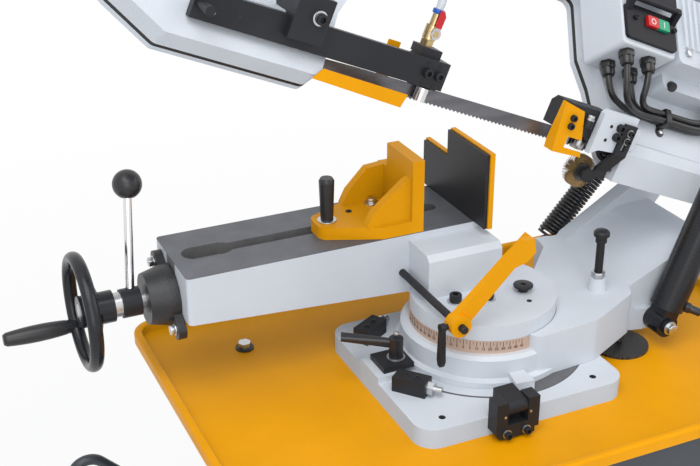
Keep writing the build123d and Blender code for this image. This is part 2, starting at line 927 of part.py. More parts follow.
key_y = (arm_boss_front + arm_boss_back) / 2
with BuildPart() as stop_clamp_key:
    with BuildSketch(side(rod_x - arm_boss / 2 - 12)):
        with Locations((key_y, rod_z)):
            Circle(key_hub / 2)
        outline(
            (key_y - 4, rod_z),
            (key_y - key_width / 2, rod_z - key_length + 8),
            (key_y - 3, rod_z - key_length),
            (key_y + 3, rod_z - key_length),
            (key_y + key_width / 2, rod_z - key_length + 8),
            (key_y + 4, rod_z),
        )
    extrude(amount=7)
    with BuildSketch(side(rod_x - arm_boss / 2 - 12)):
        with Locations((key_y, rod_z)):
            Circle(4 + fit)
    extrude(amount=7, mode=Mode.SUBTRACT)

# Swivel arm: ring round the post, platform, tower rib with the pivot boss, and the cylinder's ear
ring_low = base_thickness + run_gap
ring_top = disc_level - run_gap
flange_r = flange_d / 2
ring_r = ring_d / 2
neck_r = scale_d / 2 - scale_band
bore_r = post_d / 2 + fit
pivot_boss_front = lug_front + lug_thickness + 0.5
spring_y = pivot_boss_back + lever_gap + lever_thickness / 2
spring_foot = Vector(spring_foot_x, spring_y, tray_height + spring_foot_z)
spring_head = Vector(spring_head_x, spring_y, tray_height + spring_head_z)
spring_dir = (spring_head - spring_foot).normalized()
ear_back = foot_y + foot_eye_width / 2 + run_gap
ear_thickness = 12.0


def polar(radius, angle):
    return (radius * cos(radians(angle)), radius * sin(radians(angle)))


with BuildPart() as swivel_arm:
    with BuildSketch(level(ring_low)):
        outline(
            (11, arm_front),
            (119, arm_front + 7),
            (208, -66),
            (236, -15),
            (250, 60),
            (250, rib_back),
            (185, rib_back),
            (175, 115),
            (105, 40),
            (40, 20),
        )
    extrude(amount=arm_level - ring_low)
    fillet(swivel_arm.edges().filter_by(Axis.Z).sort_by(Axis.Y)[:3], radius=14)
    with BuildSketch(level(scale_level)):
        Circle(scale_d / 2)
    extrude(amount=arm_level, mode=Mode.SUBTRACT)
    with BuildSketch(facing(0)):
        outline(
            (bore_r, ring_low),
            (flange_r, ring_low),
            (flange_r, flange_top),
            (ring_r, flange_top + 3),
            (ring_r, scale_level - 5),
            (ring_r - 5, scale_level),
            (neck_r, scale_level),
            (neck_r, ring_top),
            (bore_r, ring_top),
        )
    revolve(axis=Axis.Z)
    with BuildSketch(level(ring_low)):
        outline(
            polar(ring_r - 4, nose_start),
            polar(nose_reach, nose_start),
            polar(nose_reach, nose_start + nose_sweep),
            polar(ring_r - 4, nose_start + nose_sweep),
        )
    extrude(amount=nose_height)
    with BuildSketch(facing(rib_back)):
        outline(
            (180, ring_low),
            (300, ring_low),
            (pivot_x - 80, 80),
            (pivot_x + 26, pivot_z - 10),
            (pivot_x, pivot_z),
            (pivot_x - 24, pivot_z + 14),
            (335, 161),
            (218, arm_level),
            (180, arm_level),
        )
    extrude(amount=rib_back - rib_front)
    with BuildSketch(facing(rib_front)):
        outline((200, 40), (300, 40), (372, 110), (372, 134), (318, 134), (225, arm_level), (200, arm_level))
    extrude(amount=rib_front - web_front)
    with BuildSketch(facing(pivot_boss_back)):
        with Locations((pivot_x, pivot_z)):
            Circle(pivot_boss / 2)
    extrude(amount=pivot_boss_back - pivot_boss_front)
    with BuildSketch(level(arm_level)):
        with Locations((index_x, index_y)):
            Circle(index_boss / 2)
    extrude(amount=index_boss_height, taper=8)
    with BuildSketch(facing(ear_back + ear_thickness)):
        outline(
            (205, 24),
            (205, 74),
            (228, 54),
            (foot_x + 10, foot_z + 12),
            (foot_x + 24, foot_z + 6),
            (foot_x + 24, 20),
            (foot_x - 20, 18),
        )
    extrude(amount=ear_thickness)
    with BuildSketch(Plane(spring_foot, x_dir=(0, 1, 0), z_dir=spring_dir)):
        Circle(spring_d / 2 + 1)
    extrude(amount=-seat_thickness)
    with BuildSketch(facing(spring_y)):
        with Locations((spring_foot_x - 8, spring_foot_z - 9)):
            Circle(9)
    extrude(amount=spring_y - rib_back)
    with BuildSketch(facing(pivot_boss_back)):
        with Locations((pivot_x, pivot_z)):
            Circle(pivot_d / 2 + fit)
    extrude(amount=pivot_boss_back - pivot_boss_front, mode=Mode.SUBTRACT)
    with BuildSketch(level(ring_low)):
        Circle(bore_r)
    extrude(amount=arm_level, mode=Mode.SUBTRACT)
    with BuildSketch(level(arm_level + index_boss_height)):
        with Locations((index_x, index_y)):
            Circle(index_pin_d / 2 + fit)
    extrude(amount=-index_depth, mode=Mode.SUBTRACT)
    with BuildSketch(facing(ear_back + ear_thickness)):
        with Locations((foot_x, foot_z)):
            Circle(foot_pin / 2)
    extrude(amount=ear_thickness, mode=Mode.SUBTRACT)

# Degree scale band round the ring's neck
with BuildPart() as scale_ring:
    with BuildSketch(level(scale_level)):
        Circle(scale_d / 2)
        Circle(neck_r, mode=Mode.SUBTRACT)
    extrude(amount=ring_top - scale_level)

# Index pin with its mushroom knob
index_bottom = arm_level + index_boss_height - index_depth + 1
with BuildPart() as index_pin:
    with BuildSketch(level(index_bottom)):
        with Locations((index_x, index_y)):
            Circle(index_pin_d / 2)
    extrude(amount=index_top - index_bottom)
    with BuildSketch(Plane(origin=(index_x, index_y, tray_height), x_dir=(1, 0, 0), z_dir=(0, -1, 0))):
        outline(
            (0, index_top - 10),
            (index_knob * 0.36, index_top - 10),
            (index_knob * 0.36, index_top - 2),
            (index_knob * 0.5, index_top),
            (index_knob * 0.5, index_top + 5),
            (index_knob * 0.4, index_top + 7.5),
            (0, index_top + 9),
        )
    revolve(axis=Axis((index_x, index_y, tray_height), (0, 0, 1)))

# Feed cylinder: pin in the ear, tube with its foot eye, rod with piston and eye
cylinder_foot = Vector(foot_x, foot_y, tray_height + foot_z)
cylinder_eye = Vector(eye_x, foot_y, tray_height + eye_z)
cylinder_dir = (cylinder_eye - cylinder_foot).normalized()
cylinder_reach = (cylinder_eye - cylinder_foot).length
rod_start = cylinder_start + cylinder_length - 62
cap_thickness = 10.0


def cylinder_plane(reach):
    return Plane(cylinder_foot + cylinder_dir * reach, x_dir=(0, 1, 0), z_dir=cylinder_dir)


with BuildPart() as cylinder_pin:
    with BuildSketch(facing(ear_back + ear_thickness)):
        with Locations((foot_x, foot_z)):
            Circle(foot_pin / 2)
    extrude(amount=ear_thickness + foot_eye_width + 2 * run_gap)
    with BuildSketch(facing(ear_back - foot_eye_width - 2 * run_gap)):
        with Locations((foot_x, foot_z)):
            Circle(foot_pin * 0.8)
    extrude(amount=5)
with BuildPart() as cylinder_tube:
    with BuildSketch(cylinder_plane(cylinder_start)):
        Circle(cylinder_d / 2)
    extrude(amount=cylinder_length)
    with BuildSketch(cylinder_plane(0)):
        Rectangle(foot_eye_width, foot_eye * 0.7)
    extrude(amount=cylinder_start + 1)
    with BuildSketch(facing(foot_y + foot_eye_width / 2)):
        with Locations((foot_x, foot_z)):
            Circle(foot_eye / 2)
    extrude(amount=foot_eye_width)
    with BuildSketch(cylinder_plane(cylinder_start + 10)):
        Circle(cylinder_d / 2 - cylinder_wall)
    extrude(amount=cylinder_length - 10 - cap_thickness, mode=Mode.SUBTRACT)
    with BuildSketch(cylinder_plane(cylinder_start + 10)):
        Circle(cylinder_rod_d / 2 + fit)
    extrude(amount=cylinder_length, mode=Mode.SUBTRACT)
    with BuildSketch(facing(foot_y + foot_eye_width / 2)):
        with Locations((foot_x, foot_z)):
            Circle(foot_pin / 2 + fit)
    extrude(amount=foot_eye_width, mode=Mode.SUBTRACT)
with BuildPart() as cylinder_rod:
    with BuildSketch(cylinder_plane(rod_start)):
        Circle(cylinder_rod_d / 2)
    extrude(amount=cylinder_reach - rod_start - rod_eye * 0.4)
    with BuildSketch(cylinder_plane(rod_start)):
        Circle(cylinder_d / 2 - cylinder_wall - run_gap)
    extrude(amount=12)
    with BuildSketch(facing(foot_y + rod_eye_width / 2)):
        with Locations((eye_x, eye_z)):
            Circle(rod_eye / 2)
    extrude(amount=rod_eye_width)
    with BuildSketch(facing(foot_y + rod_eye_width / 2)):
        with Locations((eye_x, eye_z)):
            Circle(rod_eye / 4)
    extrude(amount=rod_eye_width, mode=Mode.SUBTRACT)

# Lift spring: one coiled wire, each half turn two arcs that meet in line
coil_r = (spring_d - spring_wire) / 2
coil_low = spring_wire / 2 + run_gap
coil_high = (spring_head - spring_foot).length - seat_thickness - spring_wire / 2 - run_gap
coil_frame = Plane(spring_foot, x_dir=(0, 1, 0), z_dir=spring_dir)
half_turns = 2 * spring_turns


def coil_point(step):
    turn = pi * step
    rise = coil_low + (coil_high - coil_low) * step / half_turns
    return coil_frame.from_local_coords(Vector(coil_r * cos(turn), coil_r * sin(turn), rise))


def coil_heading(step):
    turn = pi * step
    rise = (coil_high - coil_low) / half_turns
    local = Vector(-coil_r * pi * sin(turn), coil_r * pi * cos(turn), rise)
    return (coil_frame.from_local_coords(local) - coil_frame.origin).normalized()


def biarc(start, heading, finish, landing):
    chord = finish - start
    both = heading + landing
    spread = 2 * (1 - heading.dot(landing))
    along_both = chord.dot(both)
    reach = (sqrt(along_both**2 + spread * chord.dot(chord)) - along_both) / spread
    first = start + heading * reach
    second = finish - landing * reach
    middle = (first + second) * 0.5
    return [
        Edge.make_tangent_arc(start, heading, middle),
        Edge.make_tangent_arc(middle, second - first, finish),
    ]


coil_edges = []
for step in range(half_turns):
    coil_edges += biarc(coil_point(step), coil_heading(step), coil_point(step + 1), coil_heading(step + 1))
coil_path = Wire(coil_edges)
with BuildPart() as lift_spring:
    with BuildSketch(Plane(coil_point(0), x_dir=spring_dir, z_dir=coil_heading(0))):
        RegularPolygon(radius=spring_wire / 2, side_count=6)
    sweep(path=coil_path, clean=False)
coil_marks = [edge.position_at(mark / 12) for edge in coil_edges for mark in range(12)]
turn_marks = 48
coil_gap = min(
    (there - here).length
    for place, here in enumerate(coil_marks)
    for there in coil_marks[place + turn_marks // 2 :]
) - spring_wire
print("lift spring least gap", round(coil_gap, 2), "mm, turns", spring_turns)

# Bow casting: two wheel housings joined by the top beam, open at the back under the cover
wheel_r = bow_wheel_d / 2
shell_r = wheel_r + shell_margin
cover_back = shell_back + seal_thickness + cover_thickness
drive_foot = 12.0
panel_low = 156.0
panel_front = -16.0
panel_left = 200.0
panel_right = 400.0
bar_top = bar_low + bar_height
bar_back = bar_front + bar_thickness
arm_high = right_plate_top - 15
front_y = blade_y - shell_front * cos(phi)
front_z = blade_z + shell_front * sin(phi)


def front_face_y(z):
    """Depth of the leaning front face at a lowered height."""
    return front_y + (z - front_z) * sin(phi) / cos(phi)


def bow_outline():
    outline(
        (idler_a - 22, -shell_foot),
        (idler_a + 181.5, -shell_foot),
        (idler_a + 206, 66),
        (idler_a + 284, 200),
        (idler_a + 310, beam_low),
        (throat_right, beam_low),
        (throat_right, 136),
        (throat_right + 16.5, 94),
        (throat_right + 30.5, 30),
        (throat_right + 30.5, -drive_foot),
        (drive_a + 72, -drive_foot),
        (drive_a + shell_r, 52),
        (drive_a + shell_r, 206),
        (drive_a + 62, beam_high),
        (idler_a - 62, beam_high),
        (idler_a - shell_r, 206),
        (idler_a - shell_r, 60),
        (idler_a - 82, 12),
    )


def wheel_plane(a):
    """Section plane of a bow wheel: radius across, wheel axis towards the front."""
    return Plane(origin=lean_point(a, wheel_r, 0), x_dir=along, z_dir=lean_up * -1)


with BuildPart() as bow_frame:
    with BuildSketch(bow_face(shell_back)) as shell_sketch:
        bow_outline()
        fillet(shell_sketch.vertices(), radius=14)
    extrude(amount=shell_front + shell_back)
    with BuildSketch(bow_cross(panel_left)):
        outline(
            (panel_front, panel_low),
            (panel_front, 200),
            (panel_front + 12, 214),
            (panel_front + 25, 214),
            (panel_front + 10, 196),
            (panel_front + 10, panel_low + 10),
            (62, panel_low + 10),
            (62, panel_low),
        )
    extrude(amount=panel_right - panel_left)
    with BuildSketch(bow_side(panel_front)):
        outline(
            (right_plate_left, right_plate_low),
            (right_plate_left + 14, right_plate_low + 8),
            (right_plate_right, right_plate_low + 12),
            (right_plate_right, right_plate_top),
            (right_plate_left + 6, right_plate_top),
            (right_plate_left, right_plate_top - 6),
        )
    extrude(amount=panel_front - right_plate_front)
    with BuildSketch(bow_side(front_face_y(arm_high) + 4)):
        outline(
            (right_plate_right - 14, 205),
            (panel_left + 12, 205),
            (panel_left + 12, arm_high),
            (right_plate_right - 14, arm_high),
        )
    extrude(amount=front_face_y(arm_high) + 4 - panel_front)
    with BuildSketch(bow_level(panel_low)):
        outline(
            (330, 50),
            (panel_right, 50),
            (panel_right, lug_front + lug_thickness),
            (330, lug_front + lug_thickness),
        )
    extrude(amount=10)
    with BuildSketch(bow_side(lug_front + lug_thickness)):
        outline(
            (330, panel_low),
            (panel_right, panel_low),
            (pivot_x + lug_d * 0.4, pivot_z - lug_d * 0.3),
            (pivot_x, pivot_z),
            (pivot_x - lug_d * 0.3, pivot_z + lug_d * 0.4),
            (330, panel_low + 20),
        )
        with Locations((pivot_x, pivot_z)):
            Circle(lug_d / 2)
            Circle(pivot_d / 2, mode=Mode.SUBTRACT)
    extrude(amount=lug_thickness)
    with BuildSketch(bow_cross(idler_a + 75)):
        outline(
            (bar_back + run_gap, bar_low + 3),
            (bar_back + run_gap, bar_top + 2),
            (front_face_y(bar_top + 2) + 4, bar_top + 2),
            (front_face_y(bar_low + 3) + 4, bar_low + 3),
        )
    extrude(amount=100)
    with BuildSketch(bow_face(shell_back)):
        bow_outline()
        offset(amount=-shell_wall, kind=Kind.INTERSECTION)
    extrude(amount=shell_front + shell_back - shell_wall, mode=Mode.SUBTRACT)
    with BuildSketch(bow_face(shell_back)):
        with Locations((idler_a + 190, 0), (panel_left, 0)):
            Rectangle(70, blade_width + 6)
    extrude(amount=2 * shell_back, mode=Mode.SUBTRACT)
    with BuildSketch(bow_face(shell_back - 1)):
        with Locations((idler_a, wheel_r)):
            Circle(axle_d / 2)
    extrude(amount=shell_front + shell_back - shell_wall)
    with BuildSketch(bow_face(shell_back)):
        with Locations((drive_a, wheel_r)):
            Circle(shaft_d / 2 + run_gap)
    extrude(amount=shell_front + shell_back, mode=Mode.SUBTRACT)
    with BuildSketch(bow_face(-shell_front)):
        with Locations((idler_a + 324.5, beam_low + 26)):
            Circle(hose_d)
    extrude(amount=14)
    with BuildSketch(Plane(lean_point(idler_a - shell_r, wheel_r, 0), x_dir=lean_up, z_dir=along)):
        Circle(8 + fit)
    extrude(amount=shell_wall + 2, mode=Mode.SUBTRACT)

# Rubber seal and the wheel cover that closes the back
with BuildPart() as cover_seal:
    with BuildSketch(bow_face(shell_back + seal_thickness)) as seal_sketch:
        bow_outline()
        fillet(seal_sketch.vertices(), radius=14)
    extrude(amount=seal_thickness)
    with BuildSketch(bow_face(shell_back + seal_thickness)):
        bow_outline()
        offset(amount=-shell_wall, kind=Kind.INTERSECTION)
    extrude(amount=seal_thickness, mode=Mode.SUBTRACT)
with BuildPart() as wheel_cover:
    with BuildSketch(bow_face(cover_back)) as cover_sketch:
        bow_outline()
        fillet(cover_sketch.vertices(), radius=14)
    extrude(amount=cover_thickness)

# Pivot shaft through lug and tower, with the spring lever on its back end
lever_front = pivot_boss_back + lever_gap
with BuildPart() as pivot_shaft:
    with BuildSketch(facing(lever_front + lever_thickness)):
        with Locations((pivot_x, pivot_z)):
            Circle(pivot_d / 2)
    extrude(amount=lever_front + lever_thickness - lug_front)
    with BuildSketch(facing(lever_front + lever_thickness)):
        with Locations((pivot_x, pivot_z)):
            Circle(pivot_d * 0.8)
        with Locations((spring_head_x + 14, spring_head_z + 12)):
            Circle(11)
        outline(
            (pivot_x + 4, pivot_z - 24),
            (pivot_x - 8, pivot_z + 23),
            (spring_head_x + 8, spring_head_z + 21),
            (spring_head_x + 22, spring_head_z + 4),
        )
    extrude(amount=lever_thickness)
    with BuildSketch(Plane(spring_head, x_dir=(0, 1, 0), z_dir=spring_dir)):
        Circle(spring_d / 2 + 1)
    extrude(amount=-seat_thickness)
    with BuildSketch(Plane(spring_head, x_dir=(0, 1, 0), z_dir=spring_dir)):
        Circle(7)
    extrude(amount=16)

# Saw blade: loop over both wheels, twisted upright between the guides, toothed where it cuts
upright_left = -232.0
upright_right = 150.0
turn_left = idler_a + 20.0
turn_right = drive_a - 20.0
blade_half = blade_width / 2
rim_half = blade_thickness / 2


def blade_section(x, twist, y, z):
    with BuildSketch(bow_cross(x)) as section:
        with Locations((y, z)):
            Rectangle(blade_width, blade_thickness, rotation=twist)
    return section.sketch.face()


with BuildPart() as blade:
    with BuildSketch(bow_face(blade_half)):
        with Locations(((idler_a + drive_a) / 2, wheel_r)):
            SlotCenterToCenter(drive_a - idler_a, bow_wheel_d + 2 * blade_thickness)
            SlotCenterToCenter(drive_a - idler_a, bow_wheel_d, mode=Mode.SUBTRACT)
        with Locations(((turn_left + turn_right) / 2, 0)):
            Rectangle(turn_right - turn_left, 8, mode=Mode.SUBTRACT)
    extrude(amount=blade_width)
    lean_y = blade_y - rim_half * sin(phi)
    lean_z = blade_z - rim_half * cos(phi)
    left_turn = blade_section(turn_left, -lean, lean_y, lean_z)
    left_upright = blade_section(upright_left, -90, blade_y, blade_z)
    loft([left_turn, left_upright])
    right_upright = blade_section(upright_right, -90, blade_y, blade_z)
    right_turn = blade_section(turn_right, -lean, lean_y, lean_z)
    loft([right_upright, right_turn])
    teeth = []
    tooth_count = int((upright_right - upright_left) / tooth_pitch)
    for tooth in range(tooth_count):
        teeth.append((upright_left + tooth * tooth_pitch, blade_z - blade_half))
        teeth.append((upright_left + (tooth + 0.35) * tooth_pitch, blade_z - blade_half + tooth_depth))
    teeth += [
        (upright_left + tooth_count * tooth_pitch, blade_z - blade_half),
        (upright_right, blade_z - blade_half),
        (upright_right, blade_z + blade_half),
        (upright_left, blade_z + blade_half),
    ]
    with BuildSketch(bow_side(blade_y + rim_half)):
        outline(*teeth)
    extrude(amount=blade_thickness)


# Bow wheels: flanged rims on a web and hub; the drive wheel carries its shaft
def wheel_profile(hub_bore):
    rim_r = wheel_r - run_gap
    half = wheel_width / 2
    outline(
        (hub_bore, -half - 1),
        (hub_bore + 14, -half - 1),
        (hub_bore + 14, -4),
        (rim_r - 14, -4),
        (rim_r - 14, -half),
        (rim_r, -half),
        (rim_r, half + run_gap),
        (rim_r + wheel_flange, half + run_gap),
        (rim_r + wheel_flange, half + 3),
        (rim_r - 14, half + 3),
        (rim_r - 14, 4),
        (hub_bore + 14, 4),
        (hub_bore + 14, half + 2),
        (hub_bore, half + 2),
    )


with BuildPart() as idler_wheel:
    with BuildSketch(wheel_plane(idler_a)):
        wheel_profile(axle_d / 2 + fit)
    revolve(axis=Axis(lean_point(idler_a, wheel_r, 0), lean_front))
with BuildPart() as drive_wheel:
    with BuildSketch(wheel_plane(drive_a)):
        wheel_profile(shaft_d / 2)
    revolve(axis=Axis(lean_point(drive_a, wheel_r, 0), lean_front))
    with BuildSketch(bow_face(wheel_width / 2)):
        with Locations((drive_a, wheel_r)):
            Circle(shaft_d / 2)
    extrude(amount=wheel_width / 2 + shell_front + shaft_reach)

# Blade tension knob at the idler end
knob_start = lean_point(idler_a - shell_r, wheel_r, 0)
with BuildPart() as tension_knob:
    with BuildSketch(Plane(knob_start + along * shell_wall, x_dir=lean_up, z_dir=along * -1)):
        Circle(8)
    extrude(amount=shell_wall + 14)
    with BuildSketch(Plane(knob_start - along * 10, x_dir=lean_up, z_dir=along * -1)):
        Circle(24)
        with PolarLocations(27, 5):
            Circle(7, mode=Mode.SUBTRACT)
    extrude(amount=20)

# Guide bar that slides in its clamp, with the left guide head, guard and coolant valve
with BuildPart() as guide_clamp:
    with BuildSketch(bow_cross(clamp_left)):
        outline(
            (clamp_front, bar_low + 12),
            (clamp_front, clamp_top),
            (front_face_y(clamp_top), clamp_top),
            (front_face_y(bar_top + 2), bar_top + 2),
            (bar_back + run_gap, bar_top + 2),
            (bar_back + run_gap, bar_top + run_gap),
            (bar_front - run_gap, bar_top + run_gap),
            (bar_front - run_gap, bar_low + 12),
        )
    extrude(amount=clamp_width)
with BuildPart() as guide_bar:
    with BuildSketch(bow_side(bar_back)):
        outline((bar_left, bar_low), (bar_right, bar_low), (bar_right, bar_top), (bar_left, bar_top))
    extrude(amount=bar_thickness)
    with BuildSketch(bow_side(bar_front)):
        with Locations((bar_left + 9, bar_low + bar_height / 2)):
            Circle(6)
    extrude(amount=34)

guide_left = bar_right - guide_length
guide_low = blade_z + blade_half + 1.2
roller_offset = rim_half + run_gap + 0.1 + roller_d / 2
with BuildPart() as left_guide_head:
    with BuildSketch(bow_cross(guide_left)):
        outline(
            (bar_back, guide_low),
            (guide_back, guide_low),
            (guide_back, bar_top - 8),
            (guide_back - 8, bar_top),
            (bar_back, bar_top),
        )
    extrude(amount=guide_length)
    with BuildSketch(bow_level(guide_low)):
        with Locations((guide_left + guide_length * 0.6, blade_y)):
            with GridLocations(0, 2 * roller_offset, 1, 2):
                Circle(roller_d / 2)
    extrude(amount=-roller_height)
    with BuildSketch(bow_level(bar_top)):
        outline(
            (manifold_left, bar_back - 2),
            (manifold_right, bar_back - 2),
            (manifold_right, guide_back - 8),
            (manifold_left, guide_back - 8),
        )
    extrude(amount=manifold_height)
with BuildPart() as left_blade_guard:
    with BuildSketch(bow_side(left_guard_front + guard_sheet)):
        outline(
            (left_guard_left, left_guard_low + 5),
            (left_guard_right - 4, left_guard_low),
            (left_guard_right, left_guard_top - 2),
            (left_guard_left + 10, left_guard_top),
        )
    extrude(amount=guard_sheet)
    with BuildSketch(bow_cross(left_guard_right - 22)):
        outline(
            (left_guard_front, left_guard_low + 4),
            (left_guard_front, left_guard_low + 2),
            (guide_back + guard_sheet, left_guard_low + 2),
            (guide_back + guard_sheet, left_guard_tab),
            (guide_back, left_guard_tab),
            (guide_back, left_guard_low + 4),
        )
    extrude(amount=18)
    with BuildSketch(bow_side(guide_back + guard_sheet)):
        outline(
            (left_guard_right - 22, bar_low + 2),
            (guide_left + 14, bar_low + 2),
            (guide_left + 14, bar_low + 22),
            (left_guard_right - 22, bar_low + 22),
        )
    extrude(amount=guard_sheet)

valve_low = bar_top + manifold_height
valve_top = valve_low + valve_height
stem_z = valve_low + 18.0
stem_front = valve_y - 15.0
with BuildPart() as coolant_valve:
    with BuildSketch(bow_level(valve_low)):
        with Locations((valve_x, valve_y)):
            Circle(valve_body / 2)
    extrude(amount=valve_height)
    with BuildSketch(bow_level(valve_low)):
        with Locations((valve_x, valve_y)):
            hexagon(valve_body + 4)
    extrude(amount=8)
    with BuildSketch(bow_level(stem_z - 9)):
        with Locations((valve_x, valve_y)):
            Circle(valve_body / 2 + 3)
    extrude(amount=18)
    with BuildSketch(bow_side(valve_y)):
        with Locations((valve_x, stem_z)):
            Circle(4)
    extrude(amount=valve_y - stem_front)
with BuildPart() as valve_lever:
    with BuildSketch(bow_side(stem_front + 4)):
        with Locations((valve_x, stem_z)):
            Circle(7)
        outline(
            (valve_x - 4, stem_z),
            (valve_x + 4, stem_z),
            (valve_x + 5, stem_z + valve_lever_length * 0.8),
            (valve_x + 1, stem_z + valve_lever_length),
            (valve_x - 4, stem_z + valve_lever_length),
        )
        with Locations((valve_x, stem_z)):
            Circle(4 + fit, mode=Mode.SUBTRACT)
    extrude(amount=3)

# Clear coolant hose from the valve up to the nipple on the beam
nipple = (idler_a + 324.5, beam_low + 26)
hose_route = [
    bow_point(valve_x, valve_y, valve_top),
    bow_point(valve_x, valve_y, valve_top + 44),
    bow_point(-156, 34, 408),
    bow_point(-153, 84, 452),
    lean_point(nipple[0], nipple[1], -shell_front - 14 - 46),
    lean_point(nipple[0], nipple[1], -shell_front - 14),
]


def route_radii(points):
    radii = []
    for before, here, after in zip(points, points[1:], points[2:]):
        run_in = (here - before).length
        run_out = (after - here).length
        turn = radians((here - before).get_angle(after - here))
        radii.append(0.45 * min(run_in, run_out) * cos(turn / 2) / sin(turn / 2))
    return radii


hose_radii = route_radii(hose_route)
print("coolant hose radii", [round(radius) for radius in hose_radii])
with BuildPart() as coolant_hose:
    with BuildLine() as hose_line:
        FilletPolyline(*hose_route, radius=hose_radii)
    with BuildSketch(Plane(hose_route[0], x_dir=(0, 1, 0), z_dir=upright)):
        Circle(hose_d / 2)
    sweep(path=hose_line.wire())

# Right guide: black block with its rollers, yellow guard, and the wire brush under the blade
right_guide_end = right_guide_x + right_guide_length + 16
with BuildPart() as right_guide_block:
    with BuildSketch(bow_cross(right_guide_x)):
        outline(
            (panel_front, guide_low),
            (guide_back, guide_low),
            (guide_back, 236),
            (guide_back - 10, 245),
            (panel_front, 245),
        )
    extrude(amount=right_guide_end - right_guide_x)
    with BuildSketch(bow_level(guide_low)):
        with Locations((right_guide_x + 22, blade_y)):
            with GridLocations(0, 2 * roller_offset, 1, 2):
                Circle(roller_d / 2)
    extrude(amount=-roller_height)
with BuildPart() as right_blade_guard:
    with BuildSketch(bow_side(panel_front)):
        outline(
            (right_guard_left + right_guard_slant, right_guard_low),
            (right_guard_right, right_guard_low + 2),
            (right_guard_right - 3, right_guard_low + 9),
            (right_guard_right - 34, right_guard_low + 9),
            (right_guard_right - 34, right_guard_low + 25),
            (right_guard_right - 9, right_guard_low + 25),
            (right_guard_right - 24, right_guard_top - 6),
            (right_guard_left, right_guard_top),
        )
    extrude(amount=guard_sheet)
    with BuildSketch(bow_side(panel_front + right_guard_fold)):
        outline(
            (right_guard_left + right_guard_slant, right_guard_low),
            (right_guard_left + right_guard_slant + guard_sheet, right_guard_low),
            (right_guard_left + guard_sheet, right_guard_top),
            (right_guard_left, right_guard_top),
        )
    extrude(amount=right_guard_fold)
    with BuildSketch(bow_cross(right_guard_left - 1)):
        outline(
            (panel_front + 5, right_guard_top + 1),
            (panel_front + right_guard_fold + 1, right_guard_top + 1),
            (panel_front + right_guard_fold + 1, right_guard_low + 8),
        )
    extrude(amount=right_guard_slant + 6, mode=Mode.SUBTRACT)

bracket_sheet = 5.0
bracket_left = 171.0
bracket_width = 21.0
bracket_top = 241.0
bracket_bend = 196.0
bracket_foot = -3.0
with BuildPart() as brush_bracket:
    with BuildSketch(bow_cross(bracket_left)):
        outline(
            (right_plate_front, bracket_top),
            (right_plate_front - bracket_sheet, bracket_top),
            (right_plate_front - bracket_sheet, bracket_bend),
            (bracket_foot - bracket_sheet, brush_z + 12),
            (bracket_foot - bracket_sheet, brush_z),
            (bracket_foot, brush_z),
            (bracket_foot, brush_z + 14),
            (right_plate_front, bracket_bend + 1),
        )
    extrude(amount=bracket_width)
    with BuildSketch(bow_side(bracket_foot)):
        outline(
            (bracket_left, brush_z + 10),
            (bracket_left + bracket_width - 4, brush_z + 10),
            (brush_x + 6, brush_z - 8),
            (brush_x, brush_z),
        )
        with Locations((brush_x, brush_z)):
            Circle(10)
    extrude(amount=bracket_sheet)
    with BuildSketch(bow_side(right_plate_front)):
        with Locations((bracket_left + bracket_width / 2, bracket_top - 31)):
            SlotOverall(16, 6.4, rotation=90)
    extrude(amount=bracket_sheet, mode=Mode.SUBTRACT)
    with BuildSketch(bow_side(brush_y + brush_width / 2 + 2)):
        with Locations((brush_x, brush_z)):
            Circle(brush_pin / 2)
    extrude(amount=brush_y + brush_width / 2 + 2 - bracket_foot)

strand_root = brush_core / 2 - 1
strand_tip = brush_d / 2
strand_wide = 0.9
strand_step = (brush_width - 2.0) / (brush_rows - 1)
with BuildPart() as brush_wheel:
    with BuildSketch(bow_side(brush_y + brush_width / 2)):
        with Locations((brush_x, brush_z)):
            Circle(brush_core / 2)
            Circle(brush_pin / 2 + fit, mode=Mode.SUBTRACT)
    extrude(amount=brush_width)
    with BuildSketch(bow_side(brush_y - brush_width / 2)):
        with Locations((brush_x, brush_z)):
            Circle(brush_core / 2 + 2)
            Circle(brush_pin / 2 + fit, mode=Mode.SUBTRACT)
    extrude(amount=3)
    hub_plane = Plane(bow_point(brush_x, brush_y, brush_z), x_dir=along, z_dir=(0, -1, 0))
    strands = []
    for row in range(brush_rows):
        depth = 1.0 - brush_width / 2 + row * strand_step
        for strand in range(brush_strands):
            turn = 2 * pi * (strand + 0.5 * (row % 2)) / brush_strands
            radial = Vector(cos(turn), sin(turn), 0)
            seat = hub_plane.from_local_coords(radial * strand_root + Vector(0, 0, depth))
            tip = hub_plane.from_local_coords(radial * strand_tip + Vector(0, 0, depth))
            strand_plane = Plane(seat, x_dir=(0, 1, 0), z_dir=tip - seat)
            corners = [
                strand_plane.from_local_coords(polar(strand_wide / 2, angle))
                for angle in (0, 120, 240)
            ]
            strands.append(Solid.extrude(Face(Wire.make_polygon(corners)), tip - seat))
    add(strands)

